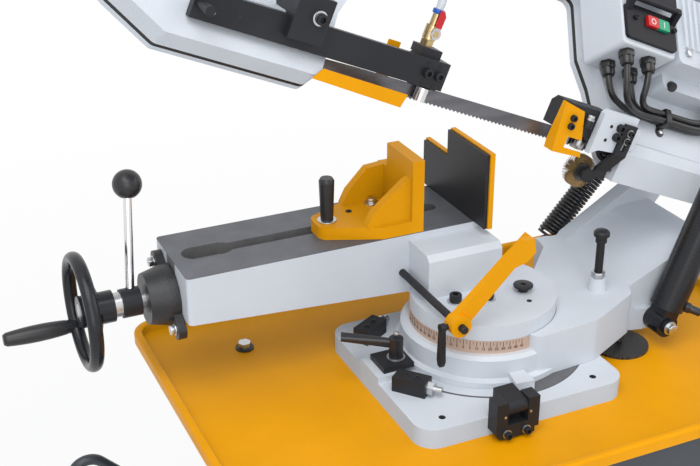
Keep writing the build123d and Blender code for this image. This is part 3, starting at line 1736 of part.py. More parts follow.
# Control box with its switch plate, two buttons and flip lid
box_right = box_left + box_width
box_front = -shell_front - box_depth
plate_front = box_front - plate_thickness
plate_left = box_left + plate_margin
plate_right = box_right - plate_margin
plate_high = plate_low + plate_height
button_w = plate_low + plate_height * 0.62
button_gap = 0.8
button_a = (plate_left + plate_right) / 2 + 10
on_a = button_a + button_width / 2 + button_gap / 2
off_a = button_a - button_width / 2 - button_gap / 2
window_width = on_a - off_a + button_width + 2 * run_gap
lid_hinge_w = plate_high + 4.0
lid_hinge_m = plate_front - button_out - 6.0
lid_lug = 8.0
with BuildPart() as control_box:
    with BuildSketch(bow_face(-shell_front)):
        with Locations(((box_left + box_right) / 2, box_low + box_height / 2)):
            RectangleRounded(box_width, box_height, 7)
    extrude(amount=box_depth)
    fillet(control_box.faces().sort_by(Axis(lean_point(0, 0, 0), lean_front))[-1].edges(), radius=3)
    with BuildSketch(bow_face(-shell_front)):
        with Locations(((box_left + box_right) / 2, box_low + box_height / 2)):
            RectangleRounded(box_width - 2 * box_wall, box_height - 2 * box_wall, 5)
    extrude(amount=box_depth - box_wall, mode=Mode.SUBTRACT)
with BuildPart() as switch_plate:
    with BuildSketch(bow_face(box_front)):
        with Locations(((plate_left + plate_right) / 2, (plate_low + plate_high) / 2)):
            RectangleRounded(plate_right - plate_left, plate_height, 5)
        with Locations((button_a, button_w)):
            Rectangle(window_width, button_height + 2 * run_gap, mode=Mode.SUBTRACT)
    extrude(amount=plate_thickness)
    for lug_a in (plate_left, plate_right - lid_lug):
        with BuildSketch(Plane(lean_point(lug_a, 0, 0), x_dir=lean_up, z_dir=along)):
            outline(
                (plate_high - 12, -plate_front),
                (plate_high, -plate_front),
                (lid_hinge_w + 4, -lid_hinge_m - 2),
                (lid_hinge_w + 4, -lid_hinge_m + 4),
                (lid_hinge_w - 4, -lid_hinge_m + 4),
            )
        extrude(amount=lid_lug)
button_back = plate_front + plate_thickness - 3.4
with BuildPart() as button_on:
    with BuildSketch(bow_face(button_back)):
        with Locations((on_a, button_w)):
            RectangleRounded(button_width, button_height, 2)
    extrude(amount=button_back - plate_front + button_out)
with BuildPart() as button_off:
    with BuildSketch(bow_face(button_back)):
        with Locations((off_a, button_w)):
            RectangleRounded(button_width, button_height, 2)
    extrude(amount=button_back - plate_front + button_out)
with BuildPart() as switch_lid:
    with BuildSketch(Plane(lean_point(plate_left + lid_lug + run_gap, 0, 0), x_dir=lean_up, z_dir=along)):
        with Locations((lid_hinge_w, -lid_hinge_m)):
            Circle(4)
        outline(
            (lid_hinge_w, -lid_hinge_m - lid_thickness / 2),
            (lid_hinge_w + lid_height, -lid_hinge_m - lid_thickness / 2),
            (lid_hinge_w + lid_height, -lid_hinge_m + lid_thickness / 2),
            (lid_hinge_w, -lid_hinge_m + lid_thickness / 2),
        )
    extrude(amount=plate_right - plate_left - 2 * lid_lug - 2 * run_gap)

# Ribbed worm gearbox on the drive housing, finned motor, and the bracket of the feed cylinder
gear_front = -shell_front - gear_depth
motor_low = gear_high + 4
with BuildPart() as gearbox:
    with BuildSketch(bow_face(-shell_front)) as worm_sketch:
        outline(
            (worm_left, worm_low),
            (worm_right, worm_low),
            (worm_right, worm_high),
            (worm_left, worm_high),
        )
        fillet(worm_sketch.vertices(), radius=10)
    extrude(amount=worm_depth)
    with BuildSketch(bow_face(-shell_front)):
        with Locations(((gear_left + gear_right) / 2, (gear_low + gear_high) / 2)):
            RectangleRounded(gear_right - gear_left, gear_high - gear_low, 8)
    extrude(amount=gear_depth)
    with BuildSketch(bow_face(gear_front)):
        for rib in range(gear_rib_count):
            with Locations((gear_left + 14 + rib * gear_rib_step, (gear_low + gear_high) / 2 + 10)):
                SlotOverall(gear_high - gear_low - 30, gear_rib, rotation=90)
    extrude(amount=gear_rib)
    with BuildSketch(bow_up(motor_a, gear_high - 4, motor_m)):
        Circle(motor_neck / 2)
    extrude(amount=motor_low - gear_high + 4)
    with BuildSketch(bow_face(-shell_front)):
        with Locations((drive_a, wheel_r)):
            Circle(shaft_d / 2 + fit)
    extrude(amount=shaft_reach + 2, mode=Mode.SUBTRACT)
with BuildPart() as motor:
    with BuildSketch(bow_up(motor_a, motor_low, motor_m)):
        Circle(motor_d / 2 - fin_depth)
        with PolarLocations(motor_d / 2 - fin_depth, fin_count):
            Rectangle(2 * fin_depth, 4.5)
    extrude(amount=motor_length)
    with BuildSketch(bow_up(motor_a, motor_low, motor_m)):
        Circle(motor_d / 2 - 3)
    extrude(amount=12)
    with BuildSketch(bow_up(motor_a, motor_low + motor_length, motor_m)):
        Circle(motor_d / 2)
    extrude(amount=cowl_length)
    fillet(motor.faces().sort_by(Axis(lean_point(0, 0, 0), lean_up))[-1].edges(), radius=8)

eye_low_x = pivot_x + (eye_x - pivot_x) * cos(theta) - (eye_z - pivot_z) * sin(theta)
eye_low_z = pivot_z + (eye_x - pivot_x) * sin(theta) + (eye_z - pivot_z) * cos(theta)
cheek_outer = cheek_gap / 2 + cheek_thickness
bridge_low = eye_low_z + rod_eye / 2 + 14
mount_thickness = 8.0
mount_back = 40.0
mount_w = gear_low + 27
with BuildPart() as cylinder_bracket:
    with BuildSketch(bow_side(mount_back)):
        outline(
            (eye_low_x - 12, bridge_low),
            (eye_low_x + 12, bridge_low),
            (eye_low_x + 12, bridge_low + 24),
            (eye_low_x - 12, bridge_low + 24),
        )
    extrude(amount=mount_back + cheek_outer - foot_y)
    with BuildSketch(bow_face(gear_front - mount_thickness)):
        with Locations((eye_low_x, mount_w)):
            Rectangle(200, 200)
    extrude(amount=-120, mode=Mode.SUBTRACT)
    with BuildSketch(bow_face(gear_front)):
        with Locations((eye_low_x, mount_w)):
            Rectangle(52, 52)
    extrude(amount=mount_thickness)
    for cheek_y in (foot_y + cheek_outer, foot_y - cheek_gap / 2):
        with BuildSketch(bow_side(cheek_y)):
            with Locations((eye_low_x, eye_low_z)):
                Circle(rod_eye / 2 + 1)
            outline(
                (eye_low_x - 15, eye_low_z),
                (eye_low_x + 15, eye_low_z),
                (eye_low_x + 12, bridge_low + 24),
                (eye_low_x - 12, bridge_low + 24),
            )
        extrude(amount=cheek_thickness)

# Control cables: glands under the box, leads swung through the clip and on to the gearbox
clip_left = 292.0
clip_width = 18.0
clip_right = clip_left + clip_width
lead_low = 44.0
lead_high = lead_low + 10.0
lead_back = -shell_front - 6.0
lead_front = lead_back - 10.0
gland_end = box_low - gland_length
left_lead = [
    (150, gland_end, -45),
    (152, 66, -44),
    (175, 48, -32),
    (230, lead_low - 1, lead_back),
    (clip_left, lead_low, lead_back),
]
front_lead = [
    (172, gland_end, -80),
    (174, 62, -78),
    (196, 46, -62),
    (240, lead_low - 2, lead_front - 6),
    (clip_left, lead_low, lead_front),
]
back_lead = [
    (190, gland_end, -45),
    (192, 72, -43),
    (208, 58, -34),
    (245, lead_high, lead_back - 1),
    (clip_left, lead_high, lead_back),
]
right_lead = [
    (214, gland_end, -64),
    (215, 74, -62),
    (228, 60, -50),
    (256, lead_high, lead_front - 3),
    (clip_left, lead_high, lead_front),
]
gearbox_leads = [
    [
        (clip_right, w, m),
        (clip_right + 37, w, m - 1),
        (turn_a, w + 8, m * 1.2),
        (turn_a + 6, worm_low - 14, m * 1.3),
        (turn_a + 6, worm_low, m * 1.3),
    ]
    for w, turn_a in ((lead_low, 386), (lead_high, 366))
    for m in (lead_back, lead_front)
]
with BuildPart() as cables:
    with BuildSketch(bow_face(-shell_front)):
        with Locations((clip_left + clip_width / 2, (lead_low + lead_high) / 2)):
            RectangleRounded(clip_width, 26, 3)
    extrude(amount=22)
    for lead in (left_lead, front_lead, back_lead, right_lead):
        with BuildSketch(bow_up(*lead[0])):
            hexagon(gland_d)
        extrude(amount=gland_length)
    for lead in (left_lead, front_lead, back_lead, right_lead, *gearbox_leads):
        route = [lean_point(*point) for point in lead]
        print("cable radii", [round(radius) for radius in route_radii(route)])
        with BuildLine() as lead_line:
            FilletPolyline(*route, radius=route_radii(route))
        with BuildSketch(Plane(route[0], z_dir=route[1] - route[0])):
            Circle(cable_d / 2)
        sweep(path=lead_line.wire())

pieces = {
    "stand_cabinet": stand_cabinet,
    "stand_handle": stand_handle,
    "drip_tray": drip_tray,
    "strainer": strainer,
    "base_plate": base_plate,
    "angle_stops": angle_stops,
    "hex_bolts": hex_bolts,
    "lock_plate": lock_plate,
    "lock_lever": lock_lever,
    "flip_stop_block": flip_stop_block,
    "flip_stop_tumbler": flip_stop_tumbler,
    "vise_body": vise_body,
    "screw_bracket": screw_bracket,
    "clamp_lever": clamp_lever,
    "clamp_ball": clamp_ball,
    "vise_screw": vise_screw,
    "handwheel": handwheel,
    "wheel_grip": wheel_grip,
    "moving_jaw": moving_jaw,
    "jaw_grip": jaw_grip,
    "fixed_jaw": fixed_jaw,
    "fixed_jaw_plate": fixed_jaw_plate,
    "stop_rod": stop_rod,
    "stop_arm": stop_arm,
    "stop_clamp_key": stop_clamp_key,
    "swivel_arm": swivel_arm,
    "scale_ring": scale_ring,
    "index_pin": index_pin,
    "cylinder_pin": cylinder_pin,
    "cylinder_tube": cylinder_tube,
    "cylinder_rod": cylinder_rod,
    "lift_spring": lift_spring,
    "bow_frame": bow_frame,
    "cover_seal": cover_seal,
    "wheel_cover": wheel_cover,
    "pivot_shaft": pivot_shaft,
    "blade": blade,
    "idler_wheel": idler_wheel,
    "drive_wheel": drive_wheel,
    "tension_knob": tension_knob,
    "guide_clamp": guide_clamp,
    "guide_bar": guide_bar,
    "left_guide_head": left_guide_head,
    "left_blade_guard": left_blade_guard,
    "coolant_valve": coolant_valve,
    "valve_lever": valve_lever,
    "coolant_hose": coolant_hose,
    "right_guide_block": right_guide_block,
    "right_blade_guard": right_blade_guard,
    "brush_bracket": brush_bracket,
    "brush_wheel": brush_wheel,
    "control_box": control_box,
    "switch_plate": switch_plate,
    "button_on": button_on,
    "button_off": button_off,
    "switch_lid": switch_lid,
    "gearbox": gearbox,
    "motor": motor,
    "cylinder_bracket": cylinder_bracket,
    "cables": cables,
}
for node_name, piece in pieces.items():
    piece.part.label = node_name
    export_step(piece.part, f"parts/{node_name}.step")
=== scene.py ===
# %% [markdown]
# # Dressing a metal cutting band saw
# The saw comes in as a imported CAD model: a cabinet stand with a drip tray, a turntable that carries
# the hinged saw bow, and a screw vise with a handwheel. The shapes and joints are already there.
# This lesson gives every piece its finish, adds the small things a CAD model leaves out, such as
# screws, scale marks and cables, and photographs the machine from the operator's side.

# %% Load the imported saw
import math

import bpy
from mathutils import Matrix, Vector


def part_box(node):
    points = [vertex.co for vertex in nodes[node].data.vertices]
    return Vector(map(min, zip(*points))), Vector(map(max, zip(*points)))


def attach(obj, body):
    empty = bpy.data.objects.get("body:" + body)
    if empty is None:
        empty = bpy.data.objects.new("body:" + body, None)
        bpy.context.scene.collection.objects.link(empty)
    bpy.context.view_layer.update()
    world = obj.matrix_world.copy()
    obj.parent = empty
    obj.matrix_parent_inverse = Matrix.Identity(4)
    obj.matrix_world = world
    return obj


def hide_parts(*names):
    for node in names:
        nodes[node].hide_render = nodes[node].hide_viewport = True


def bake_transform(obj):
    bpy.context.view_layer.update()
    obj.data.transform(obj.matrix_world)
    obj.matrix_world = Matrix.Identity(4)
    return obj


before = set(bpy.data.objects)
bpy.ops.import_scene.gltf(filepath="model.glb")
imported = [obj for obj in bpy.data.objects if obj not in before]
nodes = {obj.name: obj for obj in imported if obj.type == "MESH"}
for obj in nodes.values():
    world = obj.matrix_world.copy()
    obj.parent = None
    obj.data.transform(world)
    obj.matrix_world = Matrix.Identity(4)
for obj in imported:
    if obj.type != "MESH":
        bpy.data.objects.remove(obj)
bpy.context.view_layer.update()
bpy.ops.object.select_all(action="DESELECT")

# %% [markdown]
# The bow is drawn raised by 22.8 degrees and its wheels lean back by 40 degrees. Screws on the bow are
# easiest to place as if it were lowered, so two small functions turn such a place into the real one.
# A third does the same for the stand, where heights are counted from the tray.

# %% Places on the saw
TRAY = 0.690
PIVOT_X, PIVOT_Z = 0.430, 0.2235
BLADE_Y, BLADE_Z = 0.016, 0.1935
RAISED, LEAN = math.radians(22.8), math.radians(40.0)
along = Vector((math.cos(RAISED), 0, -math.sin(RAISED)))
upright = Vector((math.sin(RAISED), 0, math.cos(RAISED)))
lean_up = upright * math.cos(LEAN) + Vector((0, math.sin(LEAN), 0))
lean_front = upright * math.sin(LEAN) - Vector((0, math.cos(LEAN), 0))
FRONT = Vector((0, -1, 0))
UP = Vector((0, 0, 1))
LEFT = Vector((-1, 0, 0))


def bow_point(x, y, z):
    """A place on the bow in millimetres, given where it is when the bow is lowered."""
    base = Vector((PIVOT_X, y / 1000, TRAY + PIVOT_Z))
    return base + along * (x / 1000 - PIVOT_X) + upright * (z / 1000 - PIVOT_Z)


def lean_point(a, w, m):
    """A place in the leaning wheel frame: a along the blade, w up the wheels, m to the back."""
    y = BLADE_Y * 1000 + w * math.sin(LEAN) + m * math.cos(LEAN)
    z = BLADE_Z * 1000 + w * math.cos(LEAN) - m * math.sin(LEAN)
    return bow_point(a, y, z)


def bench_point(x, y, z):
    """A place on the stand in millimetres, measured from the turntable's axis on the tray."""
    return Vector((x, y, z + TRAY * 1000)) / 1000


print("blade guide", bow_point(-140, 16, 193.5))

# %% [markdown]
# ## Finishes
# Nearly every finish on the saw is a coat or a cut metal, and both are uneven at two scales: a slow
# drift of colour over the piece and a fine grain that breaks up the shine. One recipe holds both, and
# each finish sets its own numbers. The colours read object coordinates, which here are the saw's own.
# Small functions come first, one for each kind of node that is needed again and again.


# %% Noise in the saw's own coordinates
def feed(tree, socket, value):
    """Gives a socket its value: another socket's, or a number or colour."""
    if isinstance(value, bpy.types.NodeSocket):
        tree.links.new(value, socket)
    else:
        socket.default_value = value


def object_place(tree):
    """The place on the piece, in the saw's own coordinates."""
    return tree.nodes.new("ShaderNodeTexCoord").outputs["Object"]


def noise(tree, place, scale, detail):
    """A cloudy value that changes with the place."""
    node = tree.nodes.new("ShaderNodeTexNoise")
    for socket, value in (("Vector", place), ("Scale", scale), ("Detail", detail)):
        feed(tree, node.inputs[socket], value)
    return node.outputs["Fac"]


print("noise ready")


# %% Tones, levels and bumps
def two_tone(tree, value, low, high, ends):
    """A colour that goes from one tone to another while a value goes from end to end."""
    ramp = tree.nodes.new("ShaderNodeValToRGB")
    for element, colour, position in zip(ramp.color_ramp.elements, (low, high), ends):
        element.color = (*colour, 1)
        element.position = position
    feed(tree, ramp.inputs["Fac"], value)
    return ramp.outputs["Color"]


def between(tree, value, low, high, ends=(0, 1)):
    """A level that goes from low to high while a value goes from end to end."""
    node = tree.nodes.new("ShaderNodeMapRange")
    names = ("Value", "From Min", "From Max", "To Min", "To Max")
    for socket, amount in zip(names, (value, *ends, low, high)):
        feed(tree, node.inputs[socket], amount)
    return node.outputs["Result"]


def relief(tree, height, strength, distance):
    """A bumpy surface direction that follows a height."""
    node = tree.nodes.new("ShaderNodeBump")
    for socket, value in (("Height", height), ("Strength", strength), ("Distance", distance)):
        feed(tree, node.inputs[socket], value)
    return node.outputs["Normal"]


print("tones ready")

# %% [markdown]
# In the recipe, the slow noise tints the colour, and the fine one sways the roughness and the bump.
# Pictures could do this too, but noise has no seams and costs no unwrapping.

# %% A recipe for coats and metals
DRIFT_SCALE, DRIFT_DETAIL, DRIFT_ENDS = 9.0, 5.0, (0.3, 0.7)
GRAIN_DETAIL, GRAIN_HEIGHT = 3.0, 0.0006
SHINE_SWAY, SHINE_LEAST = 0.08, 0.03


def finish(
    name, colour, rough=0.45, metal=0.0, drift=0.08, grain=900.0, bump=0.12, stretch=(1, 1, 1), gloss=0.5
):
    """A Principled material with a slow colour drift and a fine grain in roughness and bump."""
    material = bpy.data.materials.new(name)
    material.use_nodes = True
    tree = material.node_tree
    shader = tree.nodes["Principled BSDF"]
    mapping = tree.nodes.new("ShaderNodeMapping")
    feed(tree, mapping.inputs["Vector"], object_place(tree))
    feed(tree, mapping.inputs["Scale"], stretch)
    place = mapping.outputs["Vector"]
    low = [channel * (1 - drift) for channel in colour]
    high = [min(1.0, channel * (1 + drift)) for channel in colour]
    slow = noise(tree, place, DRIFT_SCALE, DRIFT_DETAIL)
    fine = noise(tree, place, grain, GRAIN_DETAIL)
    feed(tree, shader.inputs["Base Color"], two_tone(tree, slow, low, high, DRIFT_ENDS))
    shine = between(tree, fine, max(SHINE_LEAST, rough - SHINE_SWAY), min(1.0, rough + SHINE_SWAY))
    feed(tree, shader.inputs["Roughness"], shine)
    feed(tree, shader.inputs["Normal"], relief(tree, fine, bump, GRAIN_HEIGHT))
    feed(tree, shader.inputs["Metallic"], metal)
    feed(tree, shader.inputs["Specular IOR Level"], gloss)
    return material


print("recipe ready")

# %% [markdown]
# The castings are sprayed white, the tray and the jaws bright yellow, and the stand slate. A colour, a
# shine and the size of the grain are enough to tell one coat from the next.

# %% Coats
WHITE = dict(colour=(0.65, 0.69, 0.74), rough=0.44, drift=0.035, grain=420, bump=0.42, gloss=0.35)
YELLOW = dict(colour=(0.84, 0.355, 0.0015), rough=0.40, drift=0.05, grain=700, bump=0.10, gloss=0.12)
yellow_coat = finish("yellow_coat", **YELLOW)
white_coat = finish("white_coat", **WHITE)
smooth_white = finish(
    "smooth_white", WHITE["colour"], rough=0.38, drift=0.03, grain=800, bump=0.14, gloss=0.35
)
slate_coat = finish("slate_coat", (0.050, 0.058, 0.070), grain=600, bump=0.2)
black_coat = finish("black_coat", (0.014, 0.015, 0.019), rough=0.26, drift=0.15, grain=500, gloss=0.35)
black_cast = finish("black_cast", (0.018, 0.019, 0.022), rough=0.40, drift=0.2, grain=330, bump=0.9)
handle_coat = finish("handle_coat", (0.035, 0.042, 0.052), rough=0.38, drift=0.1, grain=700, bump=0.1)
print("coats made")

# %% [markdown]
# A tray this bright throws orange light on every white casting near it, far more than the photo shows.
# For light that bounces off it, the yellow coat is a plain grey of the same strength.

# %% Calm the yellow's bounce
CALM_GREY = (0.42, 0.38, 0.34, 1)


def fed_by(socket):
    """What gives a socket its value: the socket linked to it, or else its own number."""
    return socket.links[0].from_socket if socket.is_linked else socket.default_value


def mixed(tree, mask, first, second, kind):
    """The first value where a mask is 0 and the second where it is 1."""
    node = tree.nodes.new("ShaderNodeMix")
    node.data_type = kind
    for socket, value in (("Factor", mask), ("A", first), ("B", second)):
        feed(tree, node.inputs[socket], value)
    return node.outputs["Result"]


tree = yellow_coat.node_tree
coat_colour = tree.nodes["Principled BSDF"].inputs["Base Color"]
bounced = tree.nodes.new("ShaderNodeLightPath").outputs["Is Diffuse Ray"]
feed(tree, coat_colour, mixed(tree, bounced, fed_by(coat_colour), CALM_GREY, "RGBA"))
print("bounce calmed")

# %% [markdown]
# Blade, screw and rollers are bare steel, the bolts are zinc plated and most brackets blackened. A metal
# shows what it mirrors, so its roughness counts for more than its colour. A stretched grain looks ground.

# %% Cut and plated metals
BLACK_PAINT = dict(colour=(0.026, 0.027, 0.031), rough=0.42, metal=0.3)
BLACK = dict(**BLACK_PAINT, drift=0.22, grain=650, bump=0.18, gloss=0.3)
ZINC = dict(colour=(0.56, 0.58, 0.60), rough=0.30, metal=1.0, drift=0.14, grain=800, bump=0.1)
CHROME = dict(colour=(0.74, 0.74, 0.76), rough=0.10, metal=1.0, drift=0.03)
black_oxide = finish("black_oxide", **BLACK)
ground_steel = finish(
    "ground_steel", (0.50, 0.50, 0.51), rough=0.28, metal=1.0, drift=0.1, grain=300, stretch=(1, 12, 1)
)
blade_steel = finish(
    "blade_steel", (0.16, 0.16, 0.175), rough=0.36, metal=0.9, drift=0.2, grain=260, stretch=(1, 8, 8)
)
zinc_plate = finish("zinc_plate", **ZINC)
roller_steel = finish(
    "roller_steel", (0.36, 0.36, 0.37), rough=0.34, metal=1.0, drift=0.1, grain=500, bump=0.05
)
chrome_plate = finish("chrome_plate", **CHROME, bump=0.02)
valve_brass = finish(
    "valve_brass", (0.56, 0.42, 0.22), rough=0.28, metal=1.0, drift=0.12, grain=700, bump=0.06
)
scale_copper = finish("scale_copper", (0.60, 0.44, 0.35), rough=0.40, metal=0.2, drift=0.06, bump=0.04)
spring_black = finish(
    "spring_black", (0.020, 0.020, 0.022), rough=0.28, metal=0.3, drift=0.2, grain=600, bump=0.1
)
print("metals made")

# %% [markdown]
# Knobs, switch panel and cables are black plastic or rubber and differ in their shine. The hose is clear:
# a share of transmission lets light through, and the rest keeps it from looking like glass.

# %% Plastics and rubber
HOSE_CLEARNESS = 0.35
black_plastic = finish("black_plastic", (0.016, 0.016, 0.018), rough=0.34, drift=0.2, bump=0.08)
panel_black = finish("panel_black", (0.012, 0.012, 0.016), rough=0.42, drift=0.2, bump=0.08, gloss=0.22)
ball_black = finish("ball_black", (0.018, 0.018, 0.022), rough=0.34, drift=0.1, bump=0.05)
cable_black = finish("cable_black", (0.014, 0.014, 0.015), rough=0.30, drift=0.2, grain=500, bump=0.05)
seal_rubber = finish("seal_rubber", (0.010, 0.010, 0.011), rough=0.55, drift=0.2, bump=0.2)
red_plastic = finish("red_plastic", (0.62, 0.012, 0.012), rough=0.32, drift=0.06, bump=0.04)
green_plastic = finish("green_plastic", (0.010, 0.34, 0.17), rough=0.32, drift=0.06, bump=0.04)
valve_red = finish("valve_red", (0.55, 0.010, 0.012), rough=0.30, grain=800, bump=0.06)
valve_blue = finish("valve_blue", (0.012, 0.09, 0.42), rough=0.35, grain=800, bump=0.06)
mark_white = finish("mark_white", (0.80, 0.80, 0.80), rough=0.5, drift=0.03, bump=0.02)
mark_dark = finish("mark_dark", (0.030, 0.026, 0.024), rough=0.55, drift=0.1, bump=0.02)
hose_clear = finish("hose_clear", (0.74, 0.78, 0.83), rough=0.18, drift=0.05, grain=400, bump=0.04)
hose_clear.node_tree.nodes["Principled BSDF"].inputs["Transmission Weight"].default_value = HOSE_CLEARNESS
print("plastics made")

# %% [markdown]
# Some CAD pieces show two finishes. The vise is a white casting whose table is milled bare, and the
# clamp lever is a chrome rod in a black hub. A test on the place does what a painter's tape does: past
# a level in some direction, the shader takes the other colour, shine and metal.


# %% Masks past a level
def reckon(tree, operation, first, second):
    """A Math node on two values."""
    node = tree.nodes.new("ShaderNodeMath")
    node.operation = operation
    feed(tree, node.inputs[0], first)
    feed(tree, node.inputs[1], second)
    return node.outputs["Value"]


def vector_step(tree, operation, vector, amount=None):
    """The outputs of a Vector Math node, fed a second vector where its operation takes one."""
    node = tree.nodes.new("ShaderNodeVectorMath")
    node.operation = operation
    feed(tree, node.inputs[0], vector)
    if amount is not None:
        feed(tree, node.inputs[1], amount)
    return node.outputs


def past_level(material, direction, level):
    """A mask that is 1 where a place reaches past a level in a direction."""
    tree = material.node_tree
    reach = vector_step(tree, "DOT_PRODUCT", object_place(tree), direction)["Value"]
    return reckon(tree, "GREATER_THAN", reach, level)


print("level masks ready")

# %% [markdown]
# Masks can be multiplied or cut from each other, as tape overlaps. The distance from an axis makes a
# round mask, and a place folded about a middle makes four of them at once.


# %% Joined and round masks
def joined(material, first, second, operation="MULTIPLY"):
    """Two masks made one, by their product or their difference."""
    return reckon(material.node_tree, operation, first, second)


def inside_slot(material, middle, half, floor_level):
    """A mask that is 1 between two walls, seen along the slot, and above its floor."""
    near = past_level(material, (0, 1, 0), middle - half)
    far = past_level(material, (0, -1, 0), -middle - half)
    high = past_level(material, (0, 0, 1), floor_level)
    return joined(material, joined(material, near, far), high)


def near_axes(material, radius, middle=(0, 0, 0), spread=(0, 0, 0)):
    """A mask that is 1 within a radius of upright axes that lie evenly round a middle."""
    tree = material.node_tree
    spot = object_place(tree)
    steps = (("SUBTRACT", middle), ("ABSOLUTE", None), ("SUBTRACT", spread), ("MULTIPLY", (1, 1, 0)))
    for operation, amount in steps:
        spot = vector_step(tree, operation, spot, amount)["Vector"]
    return reckon(tree, "LESS_THAN", vector_step(tree, "LENGTH", spot)["Value"], radius)


print("round masks ready")

# %% [markdown]
# The second finish is mixed in by its mask. Whatever fed the colour, the roughness and the metal before
# goes into the mix, so one casting can take several paints.

# %% A second finish behind a mask
CLOUD_SCALE, CLOUD_DETAIL, CLOUD_ENDS = 26.0, 9.0, (0.35, 0.68)


def paint_past(material, mask, colour, rough, metal=0.0, drift=0.15):
    """Where the mask is 1, the material takes another colour, roughness and metal."""
    tree = material.node_tree
    shader = tree.nodes["Principled BSDF"]
    low = [channel * (1 - drift) for channel in colour]
    high = [channel * (1 + drift) for channel in colour]
    cloud = noise(tree, object_place(tree), CLOUD_SCALE, CLOUD_DETAIL)
    tint = two_tone(tree, cloud, low, high, CLOUD_ENDS)
    painted = (("Base Color", tint, "RGBA"), ("Roughness", rough, "FLOAT"), ("Metallic", metal, "FLOAT"))
    for name, value, kind in painted:
        socket = shader.inputs[name]
        feed(tree, socket, mixed(tree, mask, fed_by(socket), value, kind))


print("paint ready")

# %% [markdown]
# On the castings, the vise's table is bare and its slot painted a darker grey. The base has a thin line of
# painted shadow for the gap at its flange's rim, a bare ring under the arm that is darkened with painted
# shade, and painted shade in four holes. The arm has a black seat for the spring.

# %% Bare and dark parts and painted shade on the castings
SLOT_MIDDLE, SLOT_HALF, SLOT_FLOOR = 0.1374, 0.0185, TRAY + 0.160
TABLE_TOP = TRAY + 0.1872
GAP_SHADE_OUTER, GAP_SHADE_INNER, GAP_SHADE_FRONT = 0.1462, 0.1424, 0.085
SLIDE_SHADE_RADIUS = 0.1445
HOLE_SHADE_SPOTS = dict(radius=0.0047, middle=(-0.024, -0.0205, 0), spread=(0.117, 0.125, 0))
SPRING_SEAT = dict(radius=0.022, middle=(0.212, 0.166, 0))
vise_coat = finish("vise_coat", **WHITE)
# Inside the slot, above its floor, the casting is painted a darker grey.
slot_mask = inside_slot(vise_coat, SLOT_MIDDLE, SLOT_HALF, SLOT_FLOOR)
paint_past(vise_coat, slot_mask, (0.15, 0.148, 0.148), 0.7)
table_mask = past_level(vise_coat, UP, TABLE_TOP)
paint_past(vise_coat, table_mask, (0.150, 0.156, 0.172), 0.46, metal=0.35, drift=0.10)
base_finish = finish("base_finish", **WHITE)
# A thin dark ring at the front of the base is painted shadow, standing for the shade in the gap at the
# flange's rim.
outer, inner = (near_axes(base_finish, radius) for radius in (GAP_SHADE_OUTER, GAP_SHADE_INNER))
gap_shade_ring = joined(base_finish, outer, inner, "SUBTRACT")
front_gap_shade = joined(base_finish, gap_shade_ring, past_level(base_finish, FRONT, GAP_SHADE_FRONT))
paint_past(base_finish, front_gap_shade, (0.10, 0.102, 0.108), 0.5)
# The right half of the ring under the arm is bare ground metal, darkened further with painted shade where
# the arm overhangs it.
slide_and_shade = joined(base_finish, near_axes(base_finish, SLIDE_SHADE_RADIUS), past_level(base_finish, -LEFT, 0.0))
paint_past(base_finish, slide_and_shade, (0.13, 0.132, 0.138), 0.45)
# Four dark spots on the base are painted shade inside its holes.
paint_past(base_finish, near_axes(base_finish, **HOLE_SHADE_SPOTS), (0.06, 0.06, 0.064), 0.6)
swivel_finish = finish("swivel_finish", **WHITE)
paint_past(swivel_finish, near_axes(swivel_finish, **SPRING_SEAT), **BLACK_PAINT)
print("table top", round(TABLE_TOP, 4))

# %% [markdown]
# Among the small pieces, the clamp lever, the blade rollers, the brush, the length stop, the tray's bolts
# and the coolant valve's lever change finish at one level each.

# %% Bare and dark parts of small pieces
LEVER_HUB_TOP, BOLT_SEAL_TOP = TRAY + 0.1542, TRAY + 0.0027
BRUSH_DISC_BACK, STUB_LEFT = 0.0081, 0.1092
ROLLER_TOP, SLEEVE_TOP = 204.5, 281
lever_finish = finish("lever_finish", **BLACK)
paint_past(lever_finish, past_level(lever_finish, UP, LEVER_HUB_TOP), **CHROME)
guide_finish = finish("guide_finish", **BLACK)
roller_level = bow_point(0, 0, ROLLER_TOP).dot(-upright)
roller_mask = past_level(guide_finish, -upright, roller_level)
paint_past(guide_finish, roller_mask, (0.66, 0.66, 0.68), 0.16, metal=1.0, drift=0.06)
brush_finish = finish("brush_finish", (0.40, 0.27, 0.12), metal=0.6, drift=0.45, grain=1400, bump=0.1)
brush_mask = past_level(brush_finish, FRONT, -BRUSH_DISC_BACK)
paint_past(brush_finish, brush_mask, (0.10, 0.105, 0.11), 0.38, metal=0.7)
arm_finish = finish("arm_finish", **YELLOW)
paint_past(arm_finish, past_level(arm_finish, LEFT, STUB_LEFT), **BLACK_PAINT)
bolt_finish = finish("bolt_finish", **ZINC)
paint_past(bolt_finish, past_level(bolt_finish, -UP, -BOLT_SEAL_TOP), (0.014, 0.014, 0.015), 0.5)
sleeve_level = bow_point(0, 0, SLEEVE_TOP).dot(-upright)
paint_past(valve_red, past_level(valve_red, -upright, sleeve_level), (0.56, 0.56, 0.57), 0.3, metal=1.0)
print("roller level", round(roller_level, 4))

# %% [markdown]
# The strainer in the tray is a round of woven black wire. Two rows of bands, one along and one across,
# give the weave: bright on the wires, almost black in the holes, with a bump that follows them.

